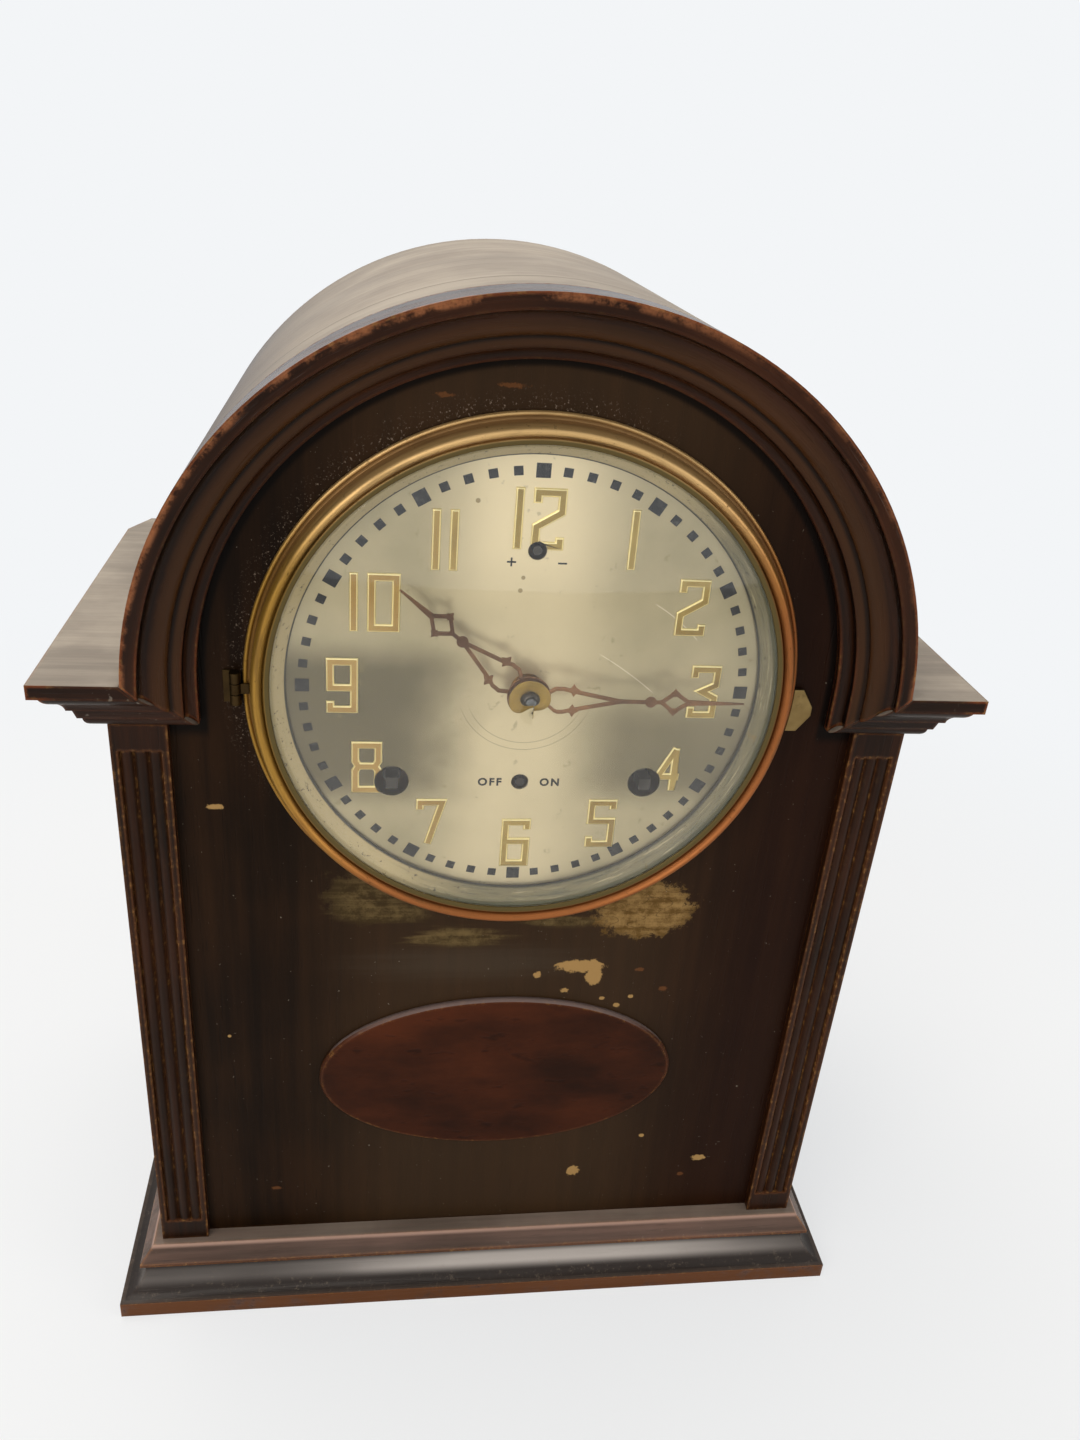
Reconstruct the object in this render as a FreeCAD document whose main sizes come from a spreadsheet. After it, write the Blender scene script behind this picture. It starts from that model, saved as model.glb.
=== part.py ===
import FreeCAD, Part
import math
import os
import Sketcher

# Round top shelf clock, in millimetres. Z is up, X is to the right and the front faces -Y.
# The origin is at the centre of the underside of the base.

DRIVING_SIZES = [
    # Base
    ("base_width", 269.2),
    ("base_depth", 166.0),
    ("plinth_height", 17.3),
    ("base_lip_height", 6.6),
    ("plinth_ledge", 1.4),
    ("plinth_cove_inset", 8.2),
    ("plinth_fillet_height", 1.8),
    ("step_height", 6.4),
    ("step_edge_height", 1.2),
    ("step_inset", 6.7),
    ("step_bevel", 4.4),
    # Case
    ("case_width", 241.0),
    ("panel_setback", 17.0),
    ("panel_thickness", 12.0),
    ("side_thickness", 12.0),
    ("case_rear_setback", 4.0),
    ("arch_height", 250.8),
    ("arch_radius", 113.1),
    ("shoulder_top_rise", 5.9),
    ("moulding_width", 18.0),
    ("moulding_depth", 16.8),
    ("roof_thickness", 5.8),
    ("wood_seam", 0.2),
    ("shoulder_rear_setback", 15.0),
    ("shoulder_clip_width", 6.0),
    ("shoulder_clip_length", 14.0),
    ("pilaster_width", 16.4),
    ("pilaster_depth", 3.4),
    ("reed_radius", 1.85),
    ("reed_pitch", 4.1),
    ("reed_end_block", 9.0),
    ("reed_recess", 2.1),
    ("plaque_width", 125.2),
    ("plaque_height", 67.2),
    ("plaque_thickness", 2.0),
    ("plaque_bevel", 0.7),
    ("plaque_centre_height", 99.1),
    ("back_thickness", 8.0),
    # Door
    ("door_width", 150.0),
    ("door_height", 240.0),
    ("door_sill_height", 46.0),
    ("door_thickness", 6.0),
    ("door_gap", 0.5),
    ("door_hinge_height", 32.0),
    ("door_hinge_inset", 40.0),
    ("door_leaf_width", 14.0),
    ("door_leaf_thickness", 0.8),
    ("door_pin_radius", 1.0),
    ("door_knuckle_radius", 1.8),
    ("latch_length", 34.0),
    ("latch_width", 9.0),
    ("latch_thickness", 2.0),
    ("latch_screw_radius", 1.8),
    ("latch_screw_depth", 5.0),
    # Dial and bezel
    ("dial_height", 250.0),
    ("panel_hole_radius", 75.0),
    ("dial_radius", 73.2),
    ("dial_recess", 1.3),
    ("dial_thickness", 0.5),
    ("dial_flange_radius", 80.0),
    ("dial_centre_hole_radius", 5.0),
    ("winding_hole_radius", 5.2),
    ("small_hole_radius", 2.7),
    ("winding_offset", 39.5),
    ("winding_drop", 32.0),
    ("regulator_rise", 43.0),
    ("numeral_ring_radius", 54.4),
    ("double_numeral_ring_radius", 52.2),
    ("numeral_height", 17.8),
    ("numeral_width", 9.4),
    ("numeral_stroke", 2.5),
    ("numeral_gap", 2.5),
    ("numeral_relief", 0.5),
    ("numeral_hole_gap", 0.1),
    ("bezel_radius", 82.5),
    ("bezel_flange_thickness", 1.2),
    ("bezel_lift", 0.7),
    ("bezel_groove_radius", 80.4),
    ("bezel_roll_height", 8.6),
    ("bezel_lip_radius", 74.65),
    ("bezel_lip_height", 7.3),
    ("bezel_lip_thickness", 0.8),
    ("glass_radius", 75.7),
    ("glass_thickness", 1.6),
    ("glass_dome", 10.0),
    ("slip_ring_inner_radius", 70.5),
    ("slip_ring_thickness", 0.5),
    ("bezel_hinge_gap", 2.0),
    ("bezel_hinge_offset", 2.2),
    ("bezel_knuckle_radius", 1.6),
    ("bezel_pin_radius", 0.7),
    ("bezel_hinge_height", 10.0),
    ("bezel_leaf_thickness", 0.8),
    ("bezel_leaf_width", 3.6),
    ("tab_length", 6.6),
    ("tab_height", 14.0),
    ("tab_drop", 4.7),
    ("tab_thickness", 1.0),
    # Hands
    ("minute_hand_length", 65.0),
    ("minute_hand_turn", 90.2),
    ("hour_hand_length", 50.0),
    ("hour_hand_turn", 310.0),
    ("hand_thickness", 0.5),
    ("hour_hand_stand_off", 4.4),
    ("minute_hand_stand_off", 6.4),
    ("hour_hub_radius", 6.5),
    ("minute_hub_radius", 6.0),
    ("hand_stroke", 1.15),
    ("washer_radius", 6.2),
    ("washer_thickness", 0.6),
    ("nut_radius", 2.9),
    ("nut_height", 2.4),
    ("centre_tip_radius", 1.5),
    ("centre_tip_length", 0.8),
    # Movement
    ("plate_width", 124.0),
    ("plate_rise", 63.0),
    ("plate_drop", 66.0),
    ("plate_thickness", 2.0),
    ("plate_spacing", 32.0),
    ("arbor_radius", 1.25),
    ("pivot_radius", 0.7),
    ("pivot_clearance", 0.05),
    ("shoulder_play", 0.3),
    ("pillar_radius", 3.0),
    ("pillar_nut_radius", 4.2),
    ("pillar_nut_height", 2.6),
    ("pillar_tenon_radius", 1.8),
    ("upper_pillar_offset", 44.0),
    ("upper_pillar_rise", 57.0),
    ("lower_pillar_offset", 30.0),
    ("lower_pillar_drop", 61.0),
    ("mounting_screw_offset", 57.0),
    ("mounting_screw_rise", 57.0),
    ("mounting_screw_drop", 60.0),
    ("mounting_screw_radius", 1.6),
    ("mounting_head_radius", 3.6),
    ("mounting_head_height", 2.2),
    ("mounting_screw_depth", 8.0),
    ("centre_bearing_radius", 2.0),
    ("centre_hub_radius", 3.6),
    ("friction_spring_radius", 6.0),
    ("friction_spring_thickness", 0.5),
    ("cannon_radius", 2.43),
    ("pipe_clearance", 0.07),
    ("pipe_radius", 3.2),
    ("great_wheel_module", 0.66),
    ("centre_wheel_module", 0.5),
    ("third_wheel_module", 0.45),
    ("fine_module", 0.4),
    ("chime_wheel_module", 0.71),
    ("hour_wheel_module", 0.5),
    ("wheel_thickness", 1.4),
    ("great_wheel_thickness", 2.4),
    ("pinion_length", 2.6),
    ("winding_arbor_radius", 3.0),
    ("winding_square", 3.8),
    ("ratchet_radius", 8.0),
    ("ratchet_thickness", 2.0),
    ("click_gap", 0.4),
    ("mainspring_width", 15.0),
    ("mainspring_strip", 0.5),
    ("mainspring_pitch", 1.9),
    ("mainspring_gap", 0.4),
    ("escape_wheel_radius", 9.6),
    ("escape_tooth_height", 1.3),
    ("verge_rise", 50.8),
    ("pallet_gap", 1.8),
    ("pallet_width", 1.6),
    ("crutch_length", 38.0),
    ("crutch_thickness", 1.0),
    # Pendulum
    ("pendulum_length", 122.0),
    ("pendulum_stand_off", 8.0),
    ("pendulum_rod_radius", 0.9),
    ("suspension_length", 9.0),
    ("suspension_width", 5.0),
    ("suspension_thickness", 0.3),
    ("suspension_grip", 3.0),
    ("suspension_slot", 1.2),
    ("cock_width", 9.0),
    ("cock_height", 11.0),
    ("bob_radius", 18.0),
    ("bob_thickness", 8.0),
    ("bob_edge", 2.0),
    ("rating_nut_radius", 3.6),
    ("rating_nut_height", 2.4),
    # Chime
    ("drum_arbor_offset", 12.5),
    ("drum_arbor_drop", 42.0),
    ("drum_radius", 7.0),
    ("drum_pin_radius", 0.5),
    ("drum_pin_height", 1.3),
    ("fly_offset", 15.5),
    ("fly_radius", 6.4),
    ("fly_length", 12.0),
    ("fly_thickness", 0.6),
    ("hammer_arbor_offset", 25.0),
    ("hammer_arbor_drop", 54.0),
    ("hammer_arbor_radius", 1.5),
    ("hammer_pitch", 7.0),
    ("first_hammer_stand_off", 20.0),
    ("hammer_reach", 53.0),
    ("hammer_hub_radius", 3.0),
    ("hammer_hub_length", 5.0),
    ("hammer_wire_radius", 0.8),
    ("hammer_head_radius", 2.8),
    ("hammer_head_height", 11.0),
    ("hammer_tail_length", 7.5),
    ("hammer_rod_gap", 1.0),
    ("rod_height", 176.0),
    ("rod_radius", 1.3),
    ("longest_rod", 150.0),
    ("rod_step", 12.0),
    ("rod_grip", 8.0),
    ("stand_width", 12.0),
    ("stand_side_gap", 4.5),
    ("stand_foot_length", 20.0),
    ("stand_foot_height", 8.0),
    ("stand_margin", 5.0),
    # Levers behind the dial
    ("minute_wheel_offset", 8.84),
    ("silence_arbor_radius", 1.5),
    ("silence_lever_length", 15.0),
    ("silence_lever_width", 4.0),
    ("regulator_arbor_radius", 1.4),
    ("cut_overrun", 2.0),
]

GREAT_TEETH = 72
SECOND_PINION_LEAVES = 12
SECOND_TEETH = 48
CENTRE_PINION_TEETH = 24
CENTRE_TEETH = 64
THIRD_PINION_LEAVES = 10
THIRD_TEETH = 60
FOURTH_PINION_LEAVES = 12
FOURTH_TEETH = 45
ESCAPE_PINION_LEAVES = 12
ESCAPE_TEETH = 42
CANNON_TEETH = 12
MINUTE_WHEEL_TEETH = 36
MINUTE_PINION_LEAVES = 10
HOUR_TEETH = 40
CHIME_SECOND_TEETH = 60
DRUM_PINION_LEAVES = 12
DRUM_WHEEL_TEETH = 50
FLY_PINION_LEAVES = 10
RATCHET_TEETH = 18
REED_COUNT = 3
MAINSPRING_TURNS = 9
HAMMER_COUNT = 4
PRESSURE_ANGLE = math.radians(25.0)
HALF_CIRCLE_SHARE = 1.9999

doc = FreeCAD.newDocument("round_top_clock")
sheet = doc.addObject("Spreadsheet::Sheet", "sizes")
for row, (alias, number) in enumerate(DRIVING_SIZES, start=1):
    sheet.set("A%d" % row, alias)
    sheet.set("B%d" % row, str(number))
    sheet.setAlias("B%d" % row, alias)
doc.recompute()


class Size:
    """A length that knows its value and the expression that gives it."""

    def __init__(self, value, text):
        self.value = value
        self.text = text

    def joined(self, other, sign, value):
        return Size(value, "(%s %s %s)" % (self.text, sign, other.text))

    def __add__(self, other):
        other = as_size(other)
        return self.joined(other, "+", self.value + other.value)

    def __sub__(self, other):
        other = as_size(other)
        return self.joined(other, "-", self.value - other.value)

    def __mul__(self, other):
        other = as_size(other)
        return self.joined(other, "*", self.value * other.value)

    def __truediv__(self, other):
        other = as_size(other)
        return self.joined(other, "/", self.value / other.value)

    def __neg__(self):
        return Size(-self.value, "(-1 * %s)" % self.text)

    def __radd__(self, other):
        return as_size(other) + self

    def __rsub__(self, other):
        return as_size(other) - self

    def __rmul__(self, other):
        return as_size(other) * self

    def __float__(self):
        return float(self.value)

    def root(self):
        return Size(math.sqrt(self.value), "sqrt(%s)" % self.text)


def as_size(number):
    """A Size from a Size or from a plain number."""
    if isinstance(number, Size):
        return number
    return Size(float(number), repr(float(number)))


class Sizes:
    """Reads a driving size from the sheet by its name."""

    def __getattr__(self, alias):
        return Size(float(sheet.get(alias)), "sizes." + alias)


d = Sizes()


def point(x, y, z):
    """A vector from sizes or numbers."""
    return FreeCAD.Vector(float(x), float(y), float(z))


def bind(thing, prop, size):
    """Sets a property from a size and keeps it bound to the sheet."""
    thing.setExpression(prop, as_size(size).text)


def place(thing, x=0, y=0, z=0):
    """Binds where a sub-part stands."""
    for axis, size in (("x", x), ("y", y), ("z", z)):
        bind(thing, "Placement.Base." + axis, size)


def new_body(label):
    """An empty body for one sub-part."""
    body = doc.addObject("PartDesign::Body", label)
    body.Label = label
    return body


def sketch_on(body, role, name, offset=0):
    """A sketch on one of the body's own origin planes, moved out along its normal."""
    sketch = body.newObject("Sketcher::SketchObject", name)
    plane = [item for item in body.Origin.OriginFeatures if item.Role == role][0]
    sketch.AttachmentSupport = (plane, [""])
    sketch.MapMode = "FlatFace"
    bind(sketch, "AttachmentOffset.Base.z", offset)
    return sketch


def fix_point(sketch, geometry, vertex, place_sizes):
    """Holds a vertex of the sketch at its two sizes."""
    for kind, size in zip(("DistanceX", "DistanceY"), place_sizes):
        size = as_size(size)
        number = sketch.addConstraint(Sketcher.Constraint(kind, -1, 1, geometry, vertex, size.value))
        sketch.setExpression("Constraints[%d]" % number, size.text)


def draw_outline(sketch, points, arcs=None):
    """A closed outline of lines, with arcs of a given radius and turn where arcs names them."""
    arcs = arcs or {}
    ends = []
    for index, start in enumerate(points):
        stop = points[(index + 1) % len(points)]
        a = point(start[0], start[1], 0)
        b = point(stop[0], stop[1], 0)
        if index not in arcs:
            ends.append((sketch.addGeometry(Part.LineSegment(a, b)), 1, 2))
            continue
        radius, turn = arcs[index]
        half = (b - a) * 0.5
        rise = math.sqrt(max(float(radius) ** 2 - half.Length ** 2, 0))
        side = FreeCAD.Vector(-half.y, half.x, 0).normalize()
        centre = a + half + side * rise * turn
        first, last = (a, b) if turn > 0 else (b, a)
        angles = [math.atan2(end.y - centre.y, end.x - centre.x) for end in (first, last)]
        circle = Part.Circle(centre, FreeCAD.Vector(0, 0, 1), float(radius))
        number = sketch.addGeometry(Part.ArcOfCircle(circle, angles[0], angles[1]))
        ends.append((number, 1, 2) if turn > 0 else (number, 2, 1))
    for index, (number, first, last) in enumerate(ends):
        following = ends[(index + 1) % len(ends)]
        sketch.addConstraint(Sketcher.Constraint("Coincident", number, last, following[0], following[1]))
        fix_point(sketch, number, first, points[index])
    for index, (radius, turn) in arcs.items():
        arc = ends[index][0]
        start, stop = points[index], points[(index + 1) % len(points)]
        if abs(float(start[0]) - float(stop[0])) < float(radius) * HALF_CIRCLE_SHARE:
            size = as_size(radius)
            number = sketch.addConstraint(Sketcher.Constraint("Radius", arc, size.value))
        else:
            # A half circle is held by its centre's height, since its ends already give its radius
            size = as_size(start[1])
            number = sketch.addConstraint(Sketcher.Constraint("DistanceY", -1, 1, arc, 3, size.value))
        sketch.setExpression("Constraints[%d]" % number, size.text)


def draw_circle(sketch, x, y, radius):
    """A circle held by its centre and radius."""
    size = as_size(radius)
    number = sketch.addGeometry(Part.Circle(point(x, y, 0), FreeCAD.Vector(0, 0, 1), size.value))
    fix_point(sketch, number, 3, (x, y))
    constraint = sketch.addConstraint(Sketcher.Constraint("Radius", number, size.value))
    sketch.setExpression("Constraints[%d]" % constraint, size.text)


def pad(body, sketch, length):
    """Pads a sketch by a bound length along its normal."""
    feature = body.newObject("PartDesign::Pad", sketch.Name + "_pad")
    feature.Profile = sketch
    bind(feature, "Length", length)
    return feature


def board(label, role, start, length, points, arcs=None, holes=()):
    """A flat piece: an outline with round holes, padded from a plane."""
    body = new_body(label)
    sketch = sketch_on(body, role, label + "_outline", start)
    draw_outline(sketch, points, arcs)
    for x, y, radius in holes:
        draw_circle(sketch, x, y, radius)
    pad(body, sketch, length)
    return body


END_VIEW = FreeCAD.Rotation(0.5, 0.5, 0.5, 0.5)
FRONT_VIEW = FreeCAD.Rotation(FreeCAD.Vector(1, 0, 0), 90)


def standing_sketch(name, turn):
    """A sketch through the origin, seen from the end or from the front."""
    sketch = doc.addObject("Sketcher::SketchObject", name)
    sketch.Placement = FreeCAD.Placement(FreeCAD.Vector(0, 0, 0), turn)
    return sketch


def long_run(sketch, length):
    """A sketch run out evenly to both sides of its plane."""
    run = doc.addObject("Part::Extrusion", sketch.Name + "_run")
    run.Base = sketch
    run.DirMode = "Normal"
    run.Solid = True
    run.Symmetric = True
    bind(run, "LengthFwd", length)
    return run


def turned(label, points, arcs=None, x=0, z=0):
    """A piece turned about an axis along Y, from points of place along Y and radius."""
    body = new_body(label)
    sketch = sketch_on(body, "YZ_Plane", label + "_section")
    draw_outline(sketch, points, arcs)
    feature = body.newObject("PartDesign::Revolution", label + "_turning")
    feature.Profile = sketch
    feature.ReferenceAxis = (sketch, ["H_Axis"])
    feature.Angle = 360
    place(body, x=x, z=z)
    return body


def primitive(kind, name, sizes, x=0, y=0, z=0):
    """A Part box or cylinder with bound sizes and place."""
    thing = doc.addObject("Part::" + kind, name)
    for prop, size in sizes.items():
        bind(thing, prop, size)
    place(thing, x, y, z)
    return thing


def finished(label, shape, x=0, y=0, z=0, turn=0):
    """A sub-part whose shape comes from Part functions, placed after it and turned about Y."""
    thing = doc.addObject("Part::Feature", label)
    thing.Label = label
    thing.Shape = shape
    thing.Placement = FreeCAD.Placement(point(x, y, z), FreeCAD.Rotation(point(0, 1, 0), float(turn)))


def rod_y(radius, start, stop, x=0, z=0):
    """A round bar along Y."""
    return Part.makeCylinder(float(radius), float(stop) - float(start), point(x, start, z), point(0, 1, 0))


def rod_z(radius, start, stop, x=0, y=0):
    """A round bar along Z."""
    return Part.makeCylinder(float(radius), float(stop) - float(start), point(x, y, start))


def brick(x, y, z):
    """A box from its low and high sizes along each axis."""
    spans = [(float(low), float(high)) for low, high in (x, y, z)]
    sides = [high - low for low, high in spans]
    return Part.makeBox(sides[0], sides[1], sides[2], point(spans[0][0], spans[1][0], spans[2][0]))


def slab_xz(corners, start, stop):
    """A flat plate from corners in X and Z, between two places along Y."""
    wire = Part.makePolygon([point(x, start, z) for x, z in corners + corners[:1]])
    return Part.Face(wire).extrude(point(0, float(stop) - float(start), 0))


def fused(shapes):
    """One solid from touching shapes."""
    whole = shapes[0].multiFuse(shapes[1:]) if len(shapes) > 1 else shapes[0]
    return whole.removeSplitter()


def polar(radius, angle):
    """X and Z of a point at a radius and an angle from the X axis."""
    return float(radius) * math.cos(angle), float(radius) * math.sin(angle)


# Shared planes and heights, worked out from the driving sizes
front_edge = -d.base_depth / 2
rear_edge = d.base_depth / 2
base_top = d.plinth_height + d.step_height
case_half = d.case_width / 2
panel_front = front_edge + d.panel_setback
panel_rear = panel_front + d.panel_thickness
case_rear = rear_edge - d.case_rear_setback
shoulder_top = d.arch_height + d.shoulder_top_rise
shoulder_bottom = shoulder_top - d.moulding_width
roof_inner = d.arch_radius - d.roof_thickness
panel_arch = roof_inner - d.wood_seam
side_inner = case_half - d.side_thickness
dial_front = panel_front + d.dial_recess
dial_rear = dial_front + d.dial_thickness
front_plate_front = panel_rear
front_plate_rear = front_plate_front + d.plate_thickness
back_plate_front = front_plate_rear + d.plate_spacing
back_plate_rear = back_plate_front + d.plate_thickness


def height_over_dial(rise):
    """A height given from the dial's centre."""
    return d.dial_height + rise


# Base: a moulded plinth with a bevelled step on it
def mitred_block(label, points, arcs):
    """A block moulded on all four edges: one section run along X and one along Y, crossed."""
    runs = []
    last = 2 * len(points) - 2
    both_arcs = dict(arcs)
    both_arcs.update({last - index: value for index, value in arcs.items()})
    for side, reach, turn in (("end", d.base_depth, END_VIEW), ("front", d.base_width, FRONT_VIEW)):
        right = [(reach / 2 - inset, up) for inset, up in points]
        left = [(inset - reach / 2, up) for inset, up in reversed(points)]
        sketch = standing_sketch(label + "_" + side, turn)
        draw_outline(sketch, right + left, both_arcs)
        runs.append(long_run(sketch, d.base_width * 2))
    crossed = doc.addObject("Part::MultiCommon", label)
    crossed.Label = label
    crossed.Shapes = runs


COVE_RADIUS_SHARE = 0.75
cove_rise = d.plinth_height - d.plinth_fillet_height - d.base_lip_height
cove_run = d.plinth_cove_inset - d.plinth_ledge
cove_radius = (cove_rise * cove_rise + cove_run * cove_run).root() * COVE_RADIUS_SHARE
mitred_block("base_plinth", [
    (0, 0),
    (0, d.base_lip_height),
    (d.plinth_ledge, d.base_lip_height),
    (d.plinth_cove_inset, d.plinth_height - d.plinth_fillet_height),
    (d.plinth_cove_inset, d.plinth_height),
], {2: (cove_radius, -1)})
mitred_block("base_step", [
    (d.step_inset, d.plinth_height),
    (d.step_inset, d.plinth_height + d.step_edge_height),
    (d.step_inset + d.step_bevel, base_top),
], {})

# Case boards
board("front_panel", "XZ_Plane", -panel_rear, d.panel_thickness, [
    (-case_half, base_top),
    (case_half, base_top),
    (case_half, shoulder_bottom),
    (panel_arch, shoulder_bottom),
    (panel_arch, d.arch_height),
    (-panel_arch, d.arch_height),
    (-panel_arch, shoulder_bottom),
    (-case_half, shoulder_bottom),
], {4: (panel_arch, 1)}, [(0, d.dial_height, d.panel_hole_radius)])

side_panels = []
for side, low in (("left", -case_half), ("right", side_inner)):
    side_panels.append(primitive("Box", "side_panel_" + side, {
        "Length": d.side_thickness,
        "Width": case_rear - panel_rear,
        "Height": shoulder_bottom - base_top,
    }, low, panel_rear, base_top))
side_pair = doc.addObject("Part::Compound", "side_panels")
side_pair.Links = side_panels

board("roof_shell", "XZ_Plane", -case_rear, case_rear - panel_front - d.wood_seam, [
    (-d.arch_radius, shoulder_bottom),
    (-roof_inner, shoulder_bottom),
    (-roof_inner, d.arch_height),
    (roof_inner, d.arch_height),
    (roof_inner, shoulder_bottom),
    (d.arch_radius, shoulder_bottom),
    (d.arch_radius, d.arch_height),
    (-d.arch_radius, d.arch_height),
], {2: (roof_inner, -1), 6: (d.arch_radius, 1)})

# The moulding's section: shares of its width, from the outer edge in, and of its depth
MOULDING_ACROSS_SHARES = (0.0, 0.24, 0.24, 0.44, 0.62, 0.62, 0.81, 0.81, 1.0)
MOULDING_PROUD_SHARES = (1.0, 1.0, 0.88, 0.70, 0.55, 0.48, 0.42, 0.35, 0.17)
MOULDING_ARC_SHARES = {2: (0.24, -1), 3: (0.22, 1), 7: (0.17, -1)}


def moulding_points(outer, inward, face, outward):
    """The moulding's front line: outer edge plus the way in, face plus the way out."""
    pairs = zip(MOULDING_ACROSS_SHARES, MOULDING_PROUD_SHARES)
    return [(outer + inward * d.moulding_width * across, face + outward * d.moulding_depth * proud)
            for across, proud in pairs]


def moulding_arcs(first, turn):
    """The moulding's curved stretches, numbered from the outline's first moulding point."""
    return {first + index: (d.moulding_width * share, way * turn)
            for index, (share, way) in MOULDING_ARC_SHARES.items()}


arch = new_body("arch_moulding")
arch_points = [(-d.arch_radius, panel_front)] + moulding_points(-d.arch_radius, 1, panel_front, -1)
arch_points.append((d.moulding_width - d.arch_radius, panel_front))
arch_sketch = sketch_on(arch, "XY_Plane", "arch_section", d.arch_height)
draw_outline(arch_sketch, arch_points, moulding_arcs(1, 1))
arch_turn = arch.newObject("PartDesign::Revolution", "arch_turning")
arch_turn.Profile = arch_sketch
arch_turn.ReferenceAxis = (arch_sketch, ["V_Axis"])
arch_turn.Angle = 180
leg_sketch = sketch_on(arch, "XY_Plane", "arch_leg_section", d.arch_height)
draw_outline(leg_sketch, arch_points, moulding_arcs(1, 1))
leg = pad(arch, leg_sketch, d.arch_height - shoulder_bottom)
leg.Reversed = True
doc.recompute()
legs = arch.newObject("PartDesign::Mirrored", "arch_legs")
legs.Originals = [leg]
legs.MirrorPlane = (arch_sketch, ["V_Axis"])
arch.Tip = legs
for name, side in (("left", -1), ("right", 1)):
    mitre = sketch_on(arch, "XZ_Plane", "arch_mitre_" + name, -panel_front - d.cut_overrun)
    corners = [
        (side * d.arch_radius, shoulder_top),
        (side * (d.arch_radius - d.moulding_width), shoulder_bottom),
        (side * (d.arch_radius - d.moulding_width), shoulder_bottom - d.moulding_width),
        (side * (d.arch_radius + d.moulding_width), shoulder_bottom - d.moulding_width),
        (side * (d.arch_radius + d.moulding_width), shoulder_top),
    ]
    draw_outline(mitre, corners if side < 0 else list(reversed(corners)))
    cut = arch.newObject("PartDesign::Pocket", "arch_mitre_cut_" + name)
    cut.Profile = mitre
    cut.Reversed = True
    bind(cut, "Length", d.moulding_depth + d.cut_overrun * 2)
arch.Tip = cut


def shoulder(side_name, side):
    """A moulded shoulder board: front run and side return crossed, mitred to the arch."""
    label = "shoulder_" + side_name
    rear = rear_edge - d.shoulder_rear_setback
    tip = case_half + d.moulding_depth
    front_points = moulding_points(shoulder_top, -1, panel_front, -1)
    front_outline = [(y, z) for z, y in front_points]
    front_sketch = standing_sketch(label + "_front", END_VIEW)
    draw_outline(front_sketch, front_outline + [(rear, shoulder_bottom), (rear, shoulder_top)],
                 moulding_arcs(0, -1))
    side_points = moulding_points(shoulder_top, -1, side * case_half, side)
    side_outline = [(x, z) for z, x in side_points]
    side_sketch = standing_sketch(label + "_side", FRONT_VIEW)
    inner = [
        (side * (d.arch_radius - d.moulding_width + d.wood_seam), shoulder_bottom),
        (side * (d.arch_radius + d.wood_seam), shoulder_top),
    ]
    draw_outline(side_sketch, side_outline + inner, moulding_arcs(0, side))
    crossed = doc.addObject("Part::MultiCommon", label + "_crossed")
    crossed.Shapes = [long_run(sketch, d.base_width * 2) for sketch in (front_sketch, side_sketch)]
    # The roof's leg and the front panel stand where this block is cut away
    roof_room = d.arch_radius + d.wood_seam
    room_low = -d.cut_overrun if side > 0 else -roof_room
    room = primitive("Box", label + "_roof_room", {
        "Length": roof_room + d.cut_overrun,
        "Width": rear - panel_front + d.cut_overrun * 2,
        "Height": d.moulding_width + d.cut_overrun * 2,
    }, room_low, panel_front, shoulder_bottom - d.cut_overrun)
    clip_sketch = doc.addObject("Sketcher::SketchObject", label + "_clip")
    draw_outline(clip_sketch, [
        (side * (tip - d.shoulder_clip_width), rear),
        (side * tip, rear - d.shoulder_clip_length),
        (side * (tip + d.cut_overrun), rear - d.shoulder_clip_length),
        (side * (tip + d.cut_overrun), rear + d.cut_overrun),
        (side * (tip - d.shoulder_clip_width), rear + d.cut_overrun),
    ])
    tools = doc.addObject("Part::MultiFuse", label + "_tools")
    tools.Shapes = [room, long_run(clip_sketch, shoulder_top * 3)]
    cut_board = doc.addObject("Part::Cut", label)
    cut_board.Label = label
    cut_board.Base = crossed
    cut_board.Tool = tools


shoulder("left", -1)
shoulder("right", 1)


def pilaster(side_name, low):
    """A flat strip with half round reeds in a sunk channel that stops short of both ends."""
    label = "pilaster_" + side_name
    face = panel_front - d.pilaster_depth
    high = low + d.pilaster_width
    height = shoulder_bottom - base_top
    strip = new_body(label)
    outline = sketch_on(strip, "XY_Plane", label + "_outline", base_top)
    draw_outline(outline, [(low, face), (high, face), (high, panel_front), (low, panel_front)])
    pad(strip, outline, height)
    floor = face + d.reed_recess
    middle = low + d.pilaster_width / 2
    half_channel = d.reed_pitch * REED_COUNT / 2
    corners = [(middle - half_channel, face - d.cut_overrun), (middle + half_channel, face - d.cut_overrun),
               (middle + half_channel, floor)]
    reeds = {}
    for index in range(REED_COUNT):
        centre = middle + d.reed_pitch * ((REED_COUNT - 1) / 2 - index)
        reeds[len(corners)] = (d.reed_radius, -1)
        corners += [(centre + d.reed_radius, floor), (centre - d.reed_radius, floor)]
    corners.append((middle - half_channel, floor))
    channel = sketch_on(strip, "XY_Plane", label + "_channel", base_top + d.reed_end_block)
    draw_outline(channel, corners, reeds)
    cut = strip.newObject("PartDesign::Pocket", label + "_channel_cut")
    cut.Profile = channel
    cut.Reversed = True
    bind(cut, "Length", height - d.reed_end_block * 2)
    strip.Tip = cut


pilaster("left", -case_half)
pilaster("right", case_half - d.pilaster_width)

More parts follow.
